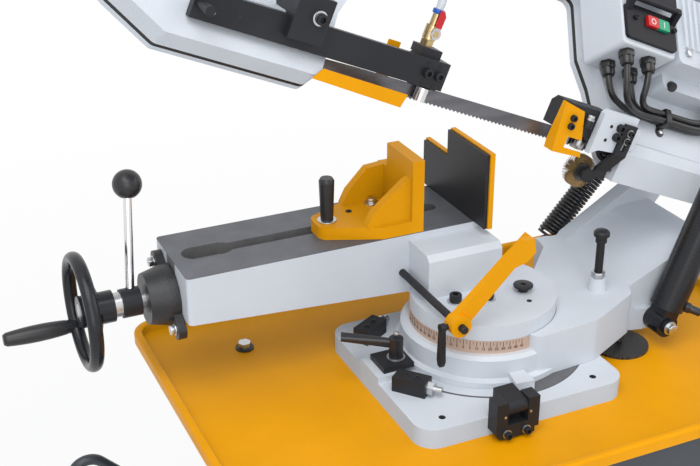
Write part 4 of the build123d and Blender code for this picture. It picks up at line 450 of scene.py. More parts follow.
# %% Woven strainer
WEAVE_SCALE, WEAVE_ENDS = 95.0, (0.45, 0.85)
WEAVE_STRENGTH, WEAVE_HEIGHT = 0.6, 0.0012
WIRE_GREY, HOLE_BLACK = (0.085, 0.083, 0.083), (0.002, 0.002, 0.002)
strainer_mesh = finish("strainer_mesh", WIRE_GREY, rough=0.4, metal=0.5)
tree = strainer_mesh.node_tree
shader = tree.nodes["Principled BSDF"]
bands = []
for direction in ("X", "Y"):
    wires = tree.nodes.new("ShaderNodeTexWave")
    wires.bands_direction = direction
    feed(tree, wires.inputs["Vector"], object_place(tree))
    feed(tree, wires.inputs["Scale"], WEAVE_SCALE)
    bands.append(wires.outputs["Fac"])
weave = reckon(tree, "MAXIMUM", *bands)
feed(tree, shader.inputs["Base Color"], two_tone(tree, weave, HOLE_BLACK, WIRE_GREY, WEAVE_ENDS))
feed(tree, shader.inputs["Normal"], relief(tree, weave, WEAVE_STRENGTH, WEAVE_HEIGHT))
print("weave made")

# %% [markdown]
# ## Finishes on the CAD pieces
# Each CAD piece keeps its mesh and takes a finish. Its triangles are loose, so a Weld modifier joins
# them and an Edge Split at 32 degrees keeps the machined edges crisp while round bars shade smoothly.

# %% Dress the CAD pieces
WELD_REACH, CRISP_ANGLE = 0.00002, math.radians(32)
dress = {
    base_finish: ["base_plate"],
    swivel_finish: ["swivel_arm"],
    white_coat: ["bow_frame", "gearbox", "motor"],
    smooth_white: ["wheel_cover", "control_box"],
    vise_coat: ["vise_body"],
    yellow_coat: ["drip_tray", "moving_jaw", "fixed_jaw", "left_blade_guard", "right_blade_guard"],
    arm_finish: ["stop_arm"],
    slate_coat: ["stand_cabinet"],
    handle_coat: ["stand_handle"],
    black_coat: ["handwheel", "cylinder_tube"],
    black_cast: ["screw_bracket"],
    black_oxide: [
        "angle_stops", "lock_plate", "flip_stop_block", "flip_stop_tumbler", "fixed_jaw_plate", "stop_rod",
        "stop_clamp_key", "index_pin", "cylinder_pin", "guide_clamp", "guide_bar", "cylinder_bracket",
        "brush_bracket",
    ],
    guide_finish: ["left_guide_head", "right_guide_block"],
    strainer_mesh: ["strainer"],
    ground_steel: ["vise_screw", "pivot_shaft", "idler_wheel", "drive_wheel"],
    blade_steel: ["blade"],
    bolt_finish: ["hex_bolts"],
    lever_finish: ["clamp_lever"],
    chrome_plate: ["cylinder_rod"],
    scale_copper: ["scale_ring"],
    valve_brass: ["coolant_valve"],
    brush_finish: ["brush_wheel"],
    black_plastic: ["lock_lever", "wheel_grip", "jaw_grip", "tension_knob"],
    panel_black: ["switch_plate", "switch_lid"],
    ball_black: ["clamp_ball"],
    cable_black: ["cables"],
    spring_black: ["lift_spring"],
    seal_rubber: ["cover_seal"],
    red_plastic: ["button_off"],
    green_plastic: ["button_on"],
    valve_red: ["valve_lever"],
    hose_clear: ["coolant_hose"],
}
for coat, names in dress.items():
    for node_name in names:
        piece = nodes[node_name]
        if not piece.material_slots:
            piece.data.materials.append(coat)
        for slot in piece.material_slots:
            slot.material = coat
        for face in piece.data.polygons:
            face.use_smooth = True
        weld = piece.modifiers.new("join_triangles", "WELD")
        weld.merge_threshold = WELD_REACH
        crease = piece.modifiers.new("crisp_edges", "EDGE_SPLIT")
        crease.split_angle = CRISP_ANGLE
bare = set(nodes) - {node_name for names in dress.values() for node_name in names}
print("dressed", len(nodes) - len(bare), "left bare", sorted(bare))

# %% [markdown]
# ## Screws
# A socket head screw is a turned head with a six-sided hole. It is modelled once: a cylinder with its
# rim bevelled, from which a hexagon is cut, and copies of it are turned to face out of their pieces.
# Washers and nuts are made the same way, from a round or six-sided start.

# %% Turned rods
BEVEL_LIMIT = math.radians(40)


def deselect():
    """Leaves nothing selected."""
    bpy.ops.object.select_all(action="DESELECT")


def rim_bevel(piece, width, segments=2):
    """Bevels a piece's sharp edges."""
    bevel = piece.modifiers.new("rim", "BEVEL")
    bevel.width = width
    bevel.segments = segments
    bevel.limit_method = "ANGLE"
    bevel.angle_limit = BEVEL_LIMIT
    bpy.context.view_layer.objects.active = piece
    bpy.ops.object.modifier_apply(modifier="rim")


def turned_rod(name, radius, high, rim, coat, sides=32):
    """A round or many-sided rod standing on z = 0, with both rims bevelled."""
    deselect()
    middle = (0, 0, high / 2)
    bpy.ops.mesh.primitive_cylinder_add(vertices=sides, radius=radius, depth=high, location=middle)
    rod = bpy.context.active_object
    rod.name = name
    bpy.ops.object.transform_apply(location=True)
    rim_bevel(rod, rim)
    rod.data.materials.append(coat)
    return rod


print("rods ready")


# %% Holes
def hollow_out(piece, cutter):
    """Cuts a shape out of a piece and removes the cutter."""
    cut = piece.modifiers.new("socket", "BOOLEAN")
    cut.operation = "DIFFERENCE"
    cut.object = cutter
    bpy.context.view_layer.objects.active = piece
    bpy.ops.object.modifier_apply(modifier="socket")
    bpy.data.objects.remove(cutter, do_unlink=True)


def bored(piece, radius, high, start, sides=32):
    """The same piece with a hole from a height up."""
    middle = (0, 0, start + high / 2)
    bpy.ops.mesh.primitive_cylinder_add(vertices=sides, radius=radius, depth=high, location=middle)
    hollow_out(piece, bpy.context.active_object)
    return piece


print("holes ready")

# %% [markdown]
# A copy of a template gets a matrix that moves it and turns its z axis out of the surface. Copies on the
# same body are joined to one piece with its place in its mesh, so the object itself stays at the origin.


# %% Placing and joining
def standing(where, facing):
    """The matrix that stands a piece at a place, with its z turned to a direction."""
    return Matrix.Translation(where) @ Vector(facing).to_track_quat("Z", "Y").to_matrix().to_4x4()


def set_piece(template, where, facing, size=1.0):
    """A copy of a template with its own mesh, standing at a place and facing a direction."""
    copy = template.copy()
    copy.data = template.data.copy()
    bpy.context.collection.objects.link(copy)
    copy.matrix_world = standing(where, facing) @ Matrix.Scale(size, 4)
    return copy


def gather(name, copies, body):
    """Joins copies into one piece whose place is in its mesh, and lets it ride on a body."""
    deselect()
    for copy in copies:
        copy.select_set(True)
    bpy.context.view_layer.objects.active = copies[0]
    if len(copies) > 1:
        bpy.ops.object.join()
    piece = bpy.context.active_object
    bpy.ops.object.transform_apply(location=True, rotation=True, scale=True)
    piece.name = name
    piece.data.name = name
    deselect()
    piece.select_set(True)
    bpy.ops.object.shade_smooth_by_angle(angle=CRISP_ANGLE)
    deselect()
    if body:
        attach(piece, body)
    return piece


print("placing ready")

# %% [markdown]
# Screws come in a few sizes, so a few templates serve for all. Each is given by its radius, height and
# rim in metres, and its hole by a radius, a depth and a start.

# %% One of each fastener
screw_m8 = turned_rod("screw_m8", 0.0062, 0.0075, 0.0009, black_oxide)
bored(screw_m8, 0.0036, 0.006, 0.0035, sides=6)
screw_m6 = turned_rod("screw_m6", 0.0048, 0.0055, 0.0007, black_oxide)
bored(screw_m6, 0.0028, 0.005, 0.0025, sides=6)
# This near-black plug sits in open threaded holes as painted shade, so the holes read dark.
hole_shade_plug = turned_rod("hole_shade_plug", 0.0024, 0.0008, 0.0002, seal_rubber)
bored(hole_shade_plug, 0.0014, 0.001, 0.0002, sides=6)
zinc_washer = turned_rod("zinc_washer", 0.0085, 0.0016, 0.0004, zinc_plate, sides=40)
bored(zinc_washer, 0.0042, 0.004, -0.001)
zinc_head = turned_rod("zinc_head", 0.0075, 0.0065, 0.0009, zinc_plate, sides=6)
zinc_nut = turned_rod("zinc_nut", 0.0104, 0.009, 0.0010, zinc_plate, sides=6)
bored(zinc_nut, 0.0064, 0.02, -0.005)
disc_plug = turned_rod("disc_plug", 0.0105, 0.0022, 0.0007, black_oxide, sides=48)
bored(disc_plug, 0.0030, 0.003, 0.0006, sides=6)
hub_washer = turned_rod("hub_washer", 0.0130, 0.0014, 0.0004, zinc_plate, sides=48)
bored(hub_washer, 0.0104, 0.004, -0.001)
# A flat near-black disc sunk in a hole is painted shade, standing for the dark inside of an open hole.
hole_shade_disc = turned_rod("hole_shade_disc", 0.0026, 0.0010, 0.0001, seal_rubber)
bar_pin = turned_rod("bar_pin", 0.0033, 0.0022, 0.0006, zinc_plate)
rubber_plug = turned_rod("rubber_plug", 0.0072, 0.0095, 0.0016, black_plastic)
roller = turned_rod("roller", 0.0106, 0.0135, 0.0009, roller_steel, sides=48)
bored(roller, 0.0056, 0.03, -0.01)
roller_stem = turned_rod("roller_stem", 0.0052, 0.022, 0.0008, black_oxide)
axle_boss = turned_rod("axle_boss", 0.0066, 0.0115, 0.0009, black_oxide)
templates = [
    screw_m8, screw_m6, hole_shade_plug, zinc_washer, zinc_head, zinc_nut, disc_plug, hole_shade_disc, bar_pin,
    hub_washer, rubber_plug, roller, roller_stem, axle_boss,
]
print("screw faces", len(screw_m8.data.polygons), "nut faces", len(zinc_nut.data.polygons))

# %% [markdown]
# The left guide hangs on a blackened bar that slides along the bow. Two socket screws hold the guide.
# Near-black plugs in the spare threads are painted shade in those holes, a dark disc is painted shade in
# a hole near the bar's end, and a pin shows at the bar's far end. They all ride with the bar.

# %% Screws on the guide bar
BAR_FRONT = -10.3
bar_screws = [set_piece(screw_m8, bow_point(x, BAR_FRONT, 226), FRONT) for x in (-149.7, -132.2)]
bar_screws += [
    set_piece(hole_shade_plug, bow_point(x, BAR_FRONT, z), FRONT) for x in (-151.4, -134) for z in (212, 239)
]
bar_screws += [set_piece(hole_shade_disc, bow_point(-413.8, BAR_FRONT + 0.85, 224.5), FRONT)]
bar_screws += [set_piece(bar_pin, bow_point(-446.6, BAR_FRONT + 2.05, 220.3), FRONT)]
gather("guide_bar_screws", bar_screws, "guide")
print("bar screws", len(bar_screws))

# %% [markdown]
# The bow carries the bar's clamp, the right guide with a blade roller, and the control box. Their screws
# point all ways, so each is placed on the lowered bow or in the leaning frame and turned by a helper.

# %% Screws on the bow
PLATE_FRONT = -26
PLATE_SCREWS, PLATE_HOLES = ((165.6, 232.7), (164.7, 219.2)), ((150.8, 231.4), (149.9, 211.3))
ROLLER_SPOT, AXLE_SPOT = (133.5, 4.6), (117.5, -18.5)
bow_screws = [
    set_piece(zinc_washer, bow_point(-323.9, -24, 252.2), FRONT, size=1.1),
    set_piece(screw_m8, bow_point(-323.9, -25.7, 252.2), FRONT, size=1.15),
]
bow_screws += [set_piece(screw_m8, bow_point(x, PLATE_FRONT, z), FRONT) for x, z in PLATE_SCREWS]
# Near-black plugs in the plate's spare holes are painted shade.
bow_screws += [set_piece(hole_shade_plug, bow_point(x, PLATE_FRONT, z), FRONT) for x, z in PLATE_HOLES]
for strap_z in (230, 218):
    bow_screws += [set_piece(zinc_washer, bow_point(183, -31, strap_z), FRONT, size=0.62)]
    bow_screws += [set_piece(screw_m6, bow_point(183, -32, strap_z), FRONT, size=0.9)]
bow_screws += [set_piece(screw_m6, bow_point(x, -18, z), FRONT) for x, z in ((89.3, 226.3), (90.2, 214.8))]
bow_screws += [set_piece(screw_m6, lean_point(a, 152, -105), lean_front, size=0.75) for a in (164.2, 237.5)]
bow_screws += [
    set_piece(zinc_head, lean_point(274, 131, -95), lean_front, size=0.8),
    set_piece(rubber_plug, lean_point(277, 99, -54), lean_front - lean_up),
    set_piece(roller, bow_point(*ROLLER_SPOT, 184.5), upright),
    set_piece(roller_stem, bow_point(*ROLLER_SPOT, 183.5), upright),
    set_piece(axle_boss, bow_point(*AXLE_SPOT, 218.5), upright),
    set_piece(zinc_washer, bow_point(*AXLE_SPOT, 230), upright, size=0.76),
    set_piece(zinc_washer, bow_point(*AXLE_SPOT, 231.4), upright, size=0.76),
    set_piece(zinc_head, bow_point(*AXLE_SPOT, 232.6), upright, size=0.72),
]
gather("bow_screws", bow_screws, "bow")
print("bow screws", len(bow_screws))

# %% [markdown]
# Screws on the turntable's base face up or forward, and the vise's end bracket is bolted on from the
# left. Two heavy bolts hold the disc down, each on a bright washer, and a black plug closes its oil hole.

# %% Screws on the stand and the vise
LOCK_X, LOCK_Y = -141, -10
STOP_SUNK = 0.0046
bench_screws = []
for stop_x, stop_y, stop_turn in ((-148, -72, -50), (-138, 80, 30)):
    heading = Vector((math.cos(math.radians(stop_turn)), math.sin(math.radians(stop_turn)), 0))
    for reach in (-8, 8):
        spot = bench_point(stop_x, stop_y, 50) + heading * reach / 1000
        bench_screws.append(set_piece(screw_m6, spot - UP * STOP_SUNK, UP))
for flip_x in (-70.5, -41.5):
    bench_screws.append(set_piece(zinc_washer, bench_point(flip_x, -193, 11), FRONT, size=0.75))
    bench_screws.append(set_piece(screw_m6, bench_point(flip_x, -194.2, 11), FRONT, size=1.1))
bench_screws += [set_piece(bar_pin, bench_point(x, -192.1, 37), FRONT, size=0.6) for x in (-74, -36)]
bench_screws.append(set_piece(hub_washer, bench_point(LOCK_X, LOCK_Y, 44.6), UP))
for disc_x, disc_y in ((-7, -25), (-52, -14)):
    bench_screws.append(set_piece(zinc_washer, bench_point(disc_x, disc_y, 113), UP, size=1.35))
    bench_screws.append(set_piece(screw_m8, bench_point(disc_x, disc_y, 115), UP, size=1.4))
bench_screws.append(set_piece(rubber_plug, bench_point(50, -25, 112), UP))
bench_screws.append(set_piece(disc_plug, bench_point(50, -25, 120), UP, size=1.35))
# A small dark disc is painted shade in the hole beside the disc.
bench_screws.append(set_piece(hole_shade_disc, bench_point(42, -55, 112.2), UP, size=1.4))
for ear_y, ear_z in ((93.2, 102.8), (181.6, 164.8)):
    bench_screws.append(set_piece(zinc_washer, bench_point(-422, ear_y, ear_z), LEFT))
    bench_screws.append(set_piece(zinc_head, bench_point(-423.4, ear_y, ear_z), LEFT))
gather("bench_screws", bench_screws, "stand")
print("bench screws", len(bench_screws))

# %% [markdown]
# The jaw, the arm and the clamp's lever move, so their bolts are pieces of their own that ride with them.
# The lever's screw sits on its top, which is read from the CAD piece's box.

# %% Nuts and bolts on moving pieces
jaw_bolts = [
    set_piece(zinc_washer, bench_point(-104, 149, 206), UP, size=1.3),
    set_piece(zinc_head, bench_point(-104, 149, 208), UP),
    set_piece(zinc_washer, bench_point(-186, 121, 206), UP, size=1.62),
    # A near-black plug in the jaw's hole is painted shade.
    set_piece(hole_shade_plug, bench_point(-146, 136, 206), UP, size=1.9),
]
gather("jaw_bolt", jaw_bolts, "vise_jaw")
arm_nuts = [
    set_piece(zinc_washer, bench_point(262, -92.6, 36), FRONT, size=1.25),
    set_piece(zinc_head, bench_point(262, -94.4, 36), FRONT, size=1.2),
    set_piece(zinc_nut, bench_point(171, -33, 112), UP),
]
gather("arm_nuts", arm_nuts, "swivel")
lock_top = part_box("lock_lever")[1][2]
lock_nut = [set_piece(zinc_head, Vector((LOCK_X / 1000, LOCK_Y / 1000, lock_top)), UP, size=0.62)]
gather("lock_lever_screw", lock_nut, "lock_lever")
print("lock lever top", round(lock_top - TRAY, 4))

# %% [markdown]
# A plastic fitting sticks out of the feed cylinder near its foot: to the right, forward and a little
# down. Its way is found from the tube's own, so it stands square on the tube.

# %% Fitting on the feed cylinder
cylinder_way, cylinder_side = Vector((0.365, 0, 0.931)), Vector((0.931, 0, -0.365))
FITTING_HIGH, FITTING_OUT = 0.034, 0.0242
fitting_way = (cylinder_side * 0.77 + FRONT * 0.64).normalized()
fitting_root = bench_point(262, -70, 36) + cylinder_way * FITTING_HIGH + fitting_way * FITTING_OUT
fitting_nut = turned_rod("fitting_nut", 0.0088, 0.008, 0.0009, black_plastic, sides=6)
fitting_stem = turned_rod("fitting_stem", 0.0062, 0.024, 0.0016, black_plastic)
fitting = [set_piece(template, fitting_root, fitting_way) for template in (fitting_nut, fitting_stem)]
templates += [fitting_nut, fitting_stem]
gather("cylinder_fitting", fitting, "cylinder")
print("fitting at", [round(value, 3) for value in fitting_root])

# %% Clear away the fastener templates
for template in templates:
    bpy.data.objects.remove(template, do_unlink=True)

# %% [markdown]
# ## Scale of degrees
# A copper strip round the arm's neck has a long line and a number for every five degrees and a short
# line between. A line is a thin bar with softened edges. The numbers are text made mesh.

# %% Lines and numbers of the scale
SCALE_RADIUS, SCALE_TOP = 0.104, TRAY + 0.0889
ZERO_AT = -134.0
SCALE_FROM, SCALE_TO, SCALE_STEP = -60, 45, 5
MARK_HIGH, MARK_RIM = 0.0003, 0.00008
LONG_LINE, SHORT_LINE = (0.0080, 0.0008), (0.0047, 0.0006)
NUMBER_SIZE, NUMBER_DROP, NUMBER_HIGH, NUMBER_BOLD = 0.0056, 0.0125, 0.00012, 0.00008


def scale_bar(length, width, coat):
    """A thin flat bar with softened edges, lying across the origin."""
    deselect()
    bpy.ops.mesh.primitive_cube_add(size=1, location=(0, 0, 0))
    bar = bpy.context.active_object
    bar.scale = (width, length, MARK_HIGH)
    bpy.ops.object.transform_apply(scale=True)
    rim_bevel(bar, MARK_RIM, 1)
    bar.data.materials.append(coat)
    return bar


def scale_number(value):
    """A number as a thin mesh, centred on the origin."""
    deselect()
    bpy.ops.object.text_add(location=(0, 0, 0))
    figure = bpy.context.active_object
    figure.data.body = str(value)
    figure.data.size = NUMBER_SIZE
    figure.data.align_x = "CENTER"
    figure.data.extrude = NUMBER_HIGH
    figure.data.offset = NUMBER_BOLD
    figure.data.resolution_u = 2
    figure.data.materials.append(mark_dark)
    bpy.ops.object.convert(target="MESH")
    return bpy.context.active_object


def scale_place(degrees, drop):
    """A place on the strip at an angle and below its top, and the way to the right there."""
    turn = math.radians(ZERO_AT + degrees)
    out = Vector((math.cos(turn), math.sin(turn), 0))
    return out * SCALE_RADIUS + UP * (SCALE_TOP - drop), Vector((-out.y, out.x, 0))


def lay_on(piece, where, right, up):
    """Lays a piece on a face: its x runs right and its y runs up the face."""
    turn = Matrix((right, up, right.cross(up))).transposed().to_4x4()
    piece.matrix_world = Matrix.Translation(where) @ turn
    return piece


print("scale helpers ready")

# %% Lay the scale round the neck
marks = []
for half in range(2 * SCALE_FROM // SCALE_STEP, 2 * SCALE_TO // SCALE_STEP + 1):
    length, width = LONG_LINE if half % 2 == 0 else SHORT_LINE
    middle, right = scale_place(SCALE_STEP / 2 * half, length / 2)
    marks.append(lay_on(scale_bar(length, width, mark_dark), middle, right, UP))
for degree in range(SCALE_FROM, SCALE_TO + 1, SCALE_STEP):
    middle, right = scale_place(degree, NUMBER_DROP)
    marks.append(lay_on(scale_number(abs(degree)), middle, right, UP))
gather("scale_marks", marks, "swivel")
print("scale marks", len(marks))

# %% [markdown]
# The pointer is a small triangle on the rim of the vise's disc, just above the zero of the scale.

# %% Pointer on the turntable's disc
DISC_RADIUS, POINTER_SUNK, POINTER_RISE = 0.103, 0.0001, 0.0058
pointer = turned_rod("scale_pointer", 0.0044, MARK_HIGH, MARK_RIM, zinc_plate, sides=3)
middle, right = scale_place(0, -POINTER_RISE)
face = (middle - UP * middle.z).normalized() * (DISC_RADIUS - POINTER_SUNK) + UP * middle.z
gather("scale_pointer", [lay_on(pointer, face, -right, -UP)], "stand")
print("pointer at", [round(value, 3) for value in middle])

# %% [markdown]
# ## Push buttons
# The stop button carries a ring and the start button a bar. The ring is a thin washer and the bar a
# softened strip, both under half a millimetre thick, as if printed, and each moves with its button.

# %% Signs on the buttons
BUTTON_ROW, BUTTON_FRONT = 151.9, -110
ring = turned_rod("stop_ring", 0.0045, 0.0004, 0.0001, mark_white, sides=40)
bored(ring, 0.0033, 0.002, -0.001)
lay_on(ring, lean_point(193.6, BUTTON_ROW, BUTTON_FRONT), along, lean_up)
gather("stop_ring", [ring], "button_off")
stroke = scale_bar(0.0092, 0.0013, mark_white)
stroke.scale = (1, 1, 1.3)
bpy.ops.object.transform_apply(scale=True)
lay_on(stroke, lean_point(214.4, BUTTON_ROW, BUTTON_FRONT), along, lean_up)
gather("start_bar", [stroke], "button_on")
print("signs set")

# %% [markdown]
# ## Lift spring
# A close-coiled spring takes the bow's weight. A Screw modifier winds a round wire section along the
# coil in one go, which is truer than a row of rings. It hangs between arm and bow.

# %% Wind the spring
WIRE, COIL, TURNS = 0.0056, 0.0157, 22
WIRE_SIDES, COIL_STEPS = 10, 22
END_PLATE, END_GAP = 0.004, 0.0004
spring_foot = bench_point(216, 166, 84)
spring_head = bench_point(311, 166, 190)
spring_way = (spring_head - spring_foot).normalized()
coil_room = (spring_head - spring_foot).length - END_PLATE - WIRE - 2 * END_GAP
deselect()
bpy.ops.mesh.primitive_circle_add(
    vertices=WIRE_SIDES, radius=WIRE / 2, location=(COIL, 0, 0), rotation=(math.radians(90), 0, 0)
)
spring = bpy.context.active_object
spring.name = "lift_spring_coil"
bpy.ops.object.transform_apply(location=True, rotation=True)
wind = spring.modifiers.new("wind", "SCREW")
wind.axis = "Z"
wind.angle = math.tau
wind.iterations = TURNS
wind.screw_offset = coil_room / TURNS
wind.steps = COIL_STEPS
wind.render_steps = COIL_STEPS
bpy.ops.object.modifier_apply(modifier="wind")
bpy.ops.object.mode_set(mode="EDIT")
bpy.ops.mesh.select_all(action="SELECT")
bpy.ops.mesh.fill_holes(sides=0)
bpy.ops.mesh.normals_make_consistent(inside=False)
bpy.ops.object.mode_set(mode="OBJECT")
spring.data.materials.append(spring_black)
spring.matrix_world = standing(spring_foot + spring_way * (WIRE / 2 + END_GAP), spring_way)
gather("lift_spring_coil", [spring], None)
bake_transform(spring)
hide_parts("lift_spring")
print("spring faces", len(spring.data.polygons), "room", round(coil_room, 4))

# %% [markdown]
# ## Cables and hose
# Four cables leave the control box through glands, meet in a clip and go back into the drive. A smooth
# NURBS line along each route gives a cable that sags and turns as rubber does, with no kinks.


# %% A smooth line
def flexible_line(name, route):
    """A smooth curve from end to end of a route."""
    curve = bpy.data.curves.new(name, "CURVE")
    curve.dimensions = "3D"
    spline = curve.splines.new("NURBS")
    spline.points.add(len(route) - 1)
    for point, place in zip(spline.points, route):
        point.co = (*place, 1)
    spline.order_u = 3
    spline.use_endpoint_u = True
    spline.resolution_u = 14
    line = bpy.data.objects.new(name, curve)
    bpy.context.collection.objects.link(line)
    bpy.context.view_layer.update()
    return line


def thicken(line, thickness, roundness):
    """Gives a line a round section and closed ends."""
    line.data.bevel_depth = thickness / 2
    line.data.bevel_resolution = roundness
    line.data.use_fill_caps = True


def line_points(line):
    """The places along a line, from its start to its end."""
    mesh = bpy.data.meshes.new_from_object(line)
    points = [vertex.co.copy() for vertex in mesh.vertices]
    bpy.data.meshes.remove(mesh)
    return points


def line_length(points):
    """The way from the first place to the last."""
    return sum((after - before).length for before, after in zip(points, points[1:]))


print("line helpers ready")

# %% [markdown]
# A route is given in the leaning frame: down from the gland, through the clip, and round to the drive.
# The line's length is measured before it gets its thickness.

# %% Cables from the control box to the drive
CABLE = 0.0095
LOW_ROW, LOW_TURN, HIGH_TURN = 51, 386, 366
cable_starts = {
    "cable_left": [(167, 89, -42), (169, 68, -40), (188, 57, -34), (225, 52, -27), (278, 51, -26)],
    "cable_front": [(165, 89, -81), (164, 60, -78), (178, 44, -62), (220, 44, -42), (278, 51, -36)],
    "cable_back": [(211, 89, -41), (212, 74, -40), (222, 62, -33), (245, 60, -27), (278, 61, -26)],
    "cable_right": [(208, 89, -79), (206, 70, -76), (208, 54, -62), (236, 56, -42), (278, 61, -36)],
}
for cable_name, start in cable_starts.items():
    w, m = start[-1][1:]
    turn_a = LOW_TURN if w == LOW_ROW else HIGH_TURN
    run = [(310, w, m), (347, w, m - 1), (turn_a, w + 8, 1.2 * m)]
    run += [(turn_a + 6, end_w, 1.3 * m) for end_w in (78, 92)]
    route = [lean_point(*place) for place in start + run]
    cable = flexible_line(cable_name, route)
    reach = line_length(line_points(cable))
    thicken(cable, CABLE, 5)
    cable.data.materials.append(cable_black)
    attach(cable, "bow")
    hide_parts("cables")
    print(cable_name, round(reach, 3))

# %% [markdown]
# Each cable comes out of a gland, a nut with a round dome. The four then pass through a square clip that
# is held by a tab with a bright screw. The clip is a block with a square hole, bevelled before it is cut.

# %% Glands
GLAND_TOP = 111
glands = []
for gland_a, _, gland_m in (start[0] for start in cable_starts.values()):
    nut = turned_rod("gland_nut", 0.0118, 0.0105, 0.0012, cable_black, sides=6)
    dome = turned_rod("gland_dome", 0.0096, 0.0225, 0.0040, cable_black)
    for part in (nut, dome):
        part.matrix_world = standing(lean_point(gland_a, GLAND_TOP, gland_m), -lean_up)
        glands.append(part)
print("gland parts", len(glands))

# %% Clip
CLIP_WIDE, CLIP_GAP, CLIP_LONG = 0.0250, 0.0205, 0.011
clip = turned_rod("cable_clip", 0.5, 1.0, 0.12, black_plastic, sides=4)
clip.rotation_euler = (0, 0, math.radians(45))
bpy.ops.object.transform_apply(rotation=True)
clip.scale = (CLIP_WIDE * math.sqrt(2), CLIP_WIDE * math.sqrt(2), CLIP_LONG)
bpy.ops.object.transform_apply(scale=True)
bpy.ops.mesh.primitive_cube_add(size=1, location=(0, 0, 0.009))
gap = bpy.context.active_object
gap.scale = (CLIP_GAP, CLIP_GAP, 0.05)
hollow_out(clip, gap)
lay_on(clip, lean_point(289, 56, -31), lean_up, -lean_front)
tab = turned_rod("clip_tab", 0.0075, 0.0025, 0.0006, black_plastic)
tab_screw = turned_rod("clip_screw", 0.0042, 0.0028, 0.0008, zinc_plate)
for part, front in ((tab, -20), (tab_screw, -22.4)):
    part.matrix_world = standing(lean_point(283, 39, front), lean_front)
gather("cable_glands", glands + [clip, tab, tab_screw], "bow")
print("clip set")

# %% [markdown]
# The coolant hose is a clear tube from the valve up to the beam. One end moves with the guide and the other
# with the bow. It is made a mesh, and a blue collar holds its foot.

# %% Coolant hose and its collar
HOSE = 0.0105
VALVE_SPOT = (-149, 17)
hose_route = [bow_point(*VALVE_SPOT, z) for z in (297, 341)]
hose_route += [bow_point(-156, 34, 408), bow_point(-153, 84, 452)]
hose_route += [lean_point(-150, 262, m) for m in (-80, -34)]
hose_line = flexible_line("hose_line", hose_route)
hose_path = line_points(hose_line)
thicken(hose_line, HOSE, 6)
hose = bpy.data.objects.new("hose_tube", bpy.data.meshes.new_from_object(hose_line))
bpy.context.collection.objects.link(hose)
bpy.data.objects.remove(hose_line, do_unlink=True)
hose.data.materials.append(hose_clear)
gather("hose_tube", [hose], None)
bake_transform(hose)
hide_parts("coolant_hose")
collar = bored(turned_rod("hose_collar", 0.0078, 0.006, 0.0010, valve_blue), 0.0054, 0.02, -0.005)
collar.matrix_world = standing(bow_point(*VALVE_SPOT, 297.2), upright)
gather("hose_collar", [collar], "guide")
print("hose", round(line_length(hose_path), 3))

# %% [markdown]
# ## Floor, light and camera
# The saw stands on a plain pale floor in soft daylight from the left, with a white surround. The floor
# and the air show white to the camera and in reflections, while the light that falls on the saw stays
# plain. Near the saw a part of the floor's own shading is kept, so its shadow still lies there.


# %% What the camera sees and what lights the saw
def seen_straight(tree):
    """1 for rays from the camera, from a mirror or through glass, and 0 for light that falls on things."""
    rays = tree.nodes.new("ShaderNodeLightPath").outputs
    mirrored = reckon(tree, "MAXIMUM", rays["Is Glossy Ray"], rays["Is Transmission Ray"])
    return reckon(tree, "MAXIMUM", rays["Is Camera Ray"], mirrored)


def show(tree, share, lit, seen, output):
    """Ends a shader in a mix: what is lit where the share is 0, and what is seen where it is 1."""
    choose = tree.nodes.new("ShaderNodeMixShader")
    for socket, source in zip(choose.inputs, (share, lit, seen)):
        feed(tree, socket, source)
    feed(tree, tree.nodes[output].inputs["Surface"], choose.outputs["Shader"])


print("ray helpers ready")

# %% Floor
SHADOW_ENDS, SHADOW_WHITE = (0.7, 3.0), 0.86
deselect()
bpy.ops.mesh.primitive_plane_add(size=14, location=(0, 0, 0))
floor = bpy.context.active_object
floor.name = "studio_floor"
pale = bpy.data.materials.new("pale_floor")
pale.use_nodes = True
tree = pale.node_tree
shader = tree.nodes["Principled BSDF"]
feed(tree, shader.inputs["Base Color"], (0.84, 0.84, 0.84, 1))
feed(tree, shader.inputs["Roughness"], 0.8)
glow = tree.nodes.new("ShaderNodeEmission")
feed(tree, glow.inputs["Color"], (1, 1, 1, 1))
away = vector_step(tree, "LENGTH", object_place(tree))["Value"]
fade = between(tree, away, SHADOW_WHITE, 1.0, SHADOW_ENDS)
share = reckon(tree, "MULTIPLY", seen_straight(tree), fade)
show(tree, share, shader.outputs["BSDF"], glow.outputs["Emission"], "Material Output")
floor.data.materials.append(pale)
print("floor set")

# %% [markdown]
# The air is a pale bluish light for the saw and plain white to the eye, by the same test of rays.

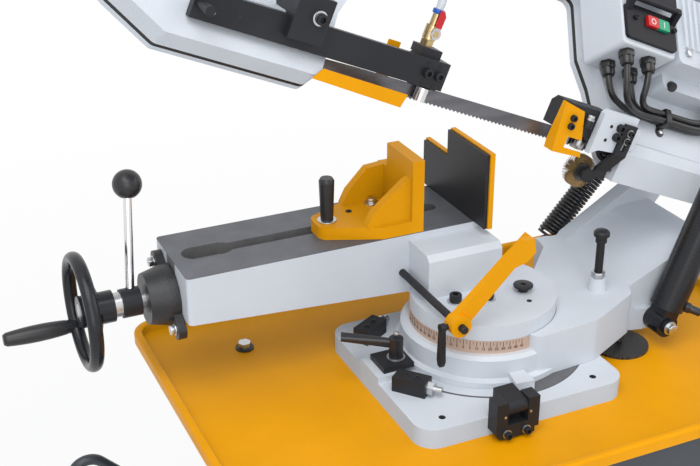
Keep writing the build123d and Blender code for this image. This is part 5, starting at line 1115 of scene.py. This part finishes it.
# %% Air
world = bpy.data.worlds.new("studio_air")
bpy.context.scene.world = world
world.use_nodes = True
tree = world.node_tree
air = tree.nodes["Background"]
feed(tree, air.inputs["Color"], (0.93, 0.95, 1.0, 1))
feed(tree, air.inputs["Strength"], 0.55)
white = tree.nodes.new("ShaderNodeBackground")
feed(tree, white.inputs["Color"], (1, 1, 1, 1))
show(tree, seen_straight(tree), air.outputs["Background"], white.outputs["Background"], "World Output")
print("air set")

# %% [markdown]
# A large panel high on the left gives the main light, and two weaker ones open the shadows in front and
# on the right. Large lamps make soft edges, as a cloudy sky does.


# %% Soft lamps
def soft_lamp(name, where, aim, size, power):
    """A square lamp at a place that shines at an aim."""
    bpy.ops.object.light_add(type="AREA", location=where)
    lamp = bpy.context.active_object
    lamp.name = name
    lamp.data.size = size
    lamp.data.energy = power
    lamp.rotation_euler = (Vector(aim) - Vector(where)).to_track_quat("-Z", "Y").to_euler()


SAW_MIDDLE = (0, 0, 0.8)
soft_lamp("sky_panel", (-1.5, -2.0, 5.4), SAW_MIDDLE, 4.0, 146)
soft_lamp("front_panel", (-1.3, -3.0, 1.9), SAW_MIDDLE, 2.2, 27)
soft_lamp("right_panel", (2.6, -1.2, 2.4), (0.1, 0, 0.9), 1.8, 16)
print("lamps set")

# %% [markdown]
# The camera is where the photographer stood: in front and to the left, above the handwheel, looking
# down a little at the blade.

# %% Camera
CAMERA_AT = (-0.808, -1.3281, TRAY + 0.9455)
YAW, PITCH, ROLL = (math.radians(degrees) for degrees in (24.4, 25.7, 0.23))
bpy.ops.object.camera_add(location=CAMERA_AT)
camera = bpy.context.active_object
camera.data.lens = 63.9
camera.data.sensor_width = 36.0
turn, tilt = Matrix.Rotation(-YAW, 4, "Z"), Matrix.Rotation(math.radians(90) - PITCH, 4, "X")
camera.rotation_euler = (turn @ tilt @ Matrix.Rotation(-ROLL, 4, "Z")).to_euler()
bpy.context.scene.camera = camera
bpy.context.scene.view_settings.view_transform = "Standard"
print("camera", [round(value, 3) for value in camera.location])
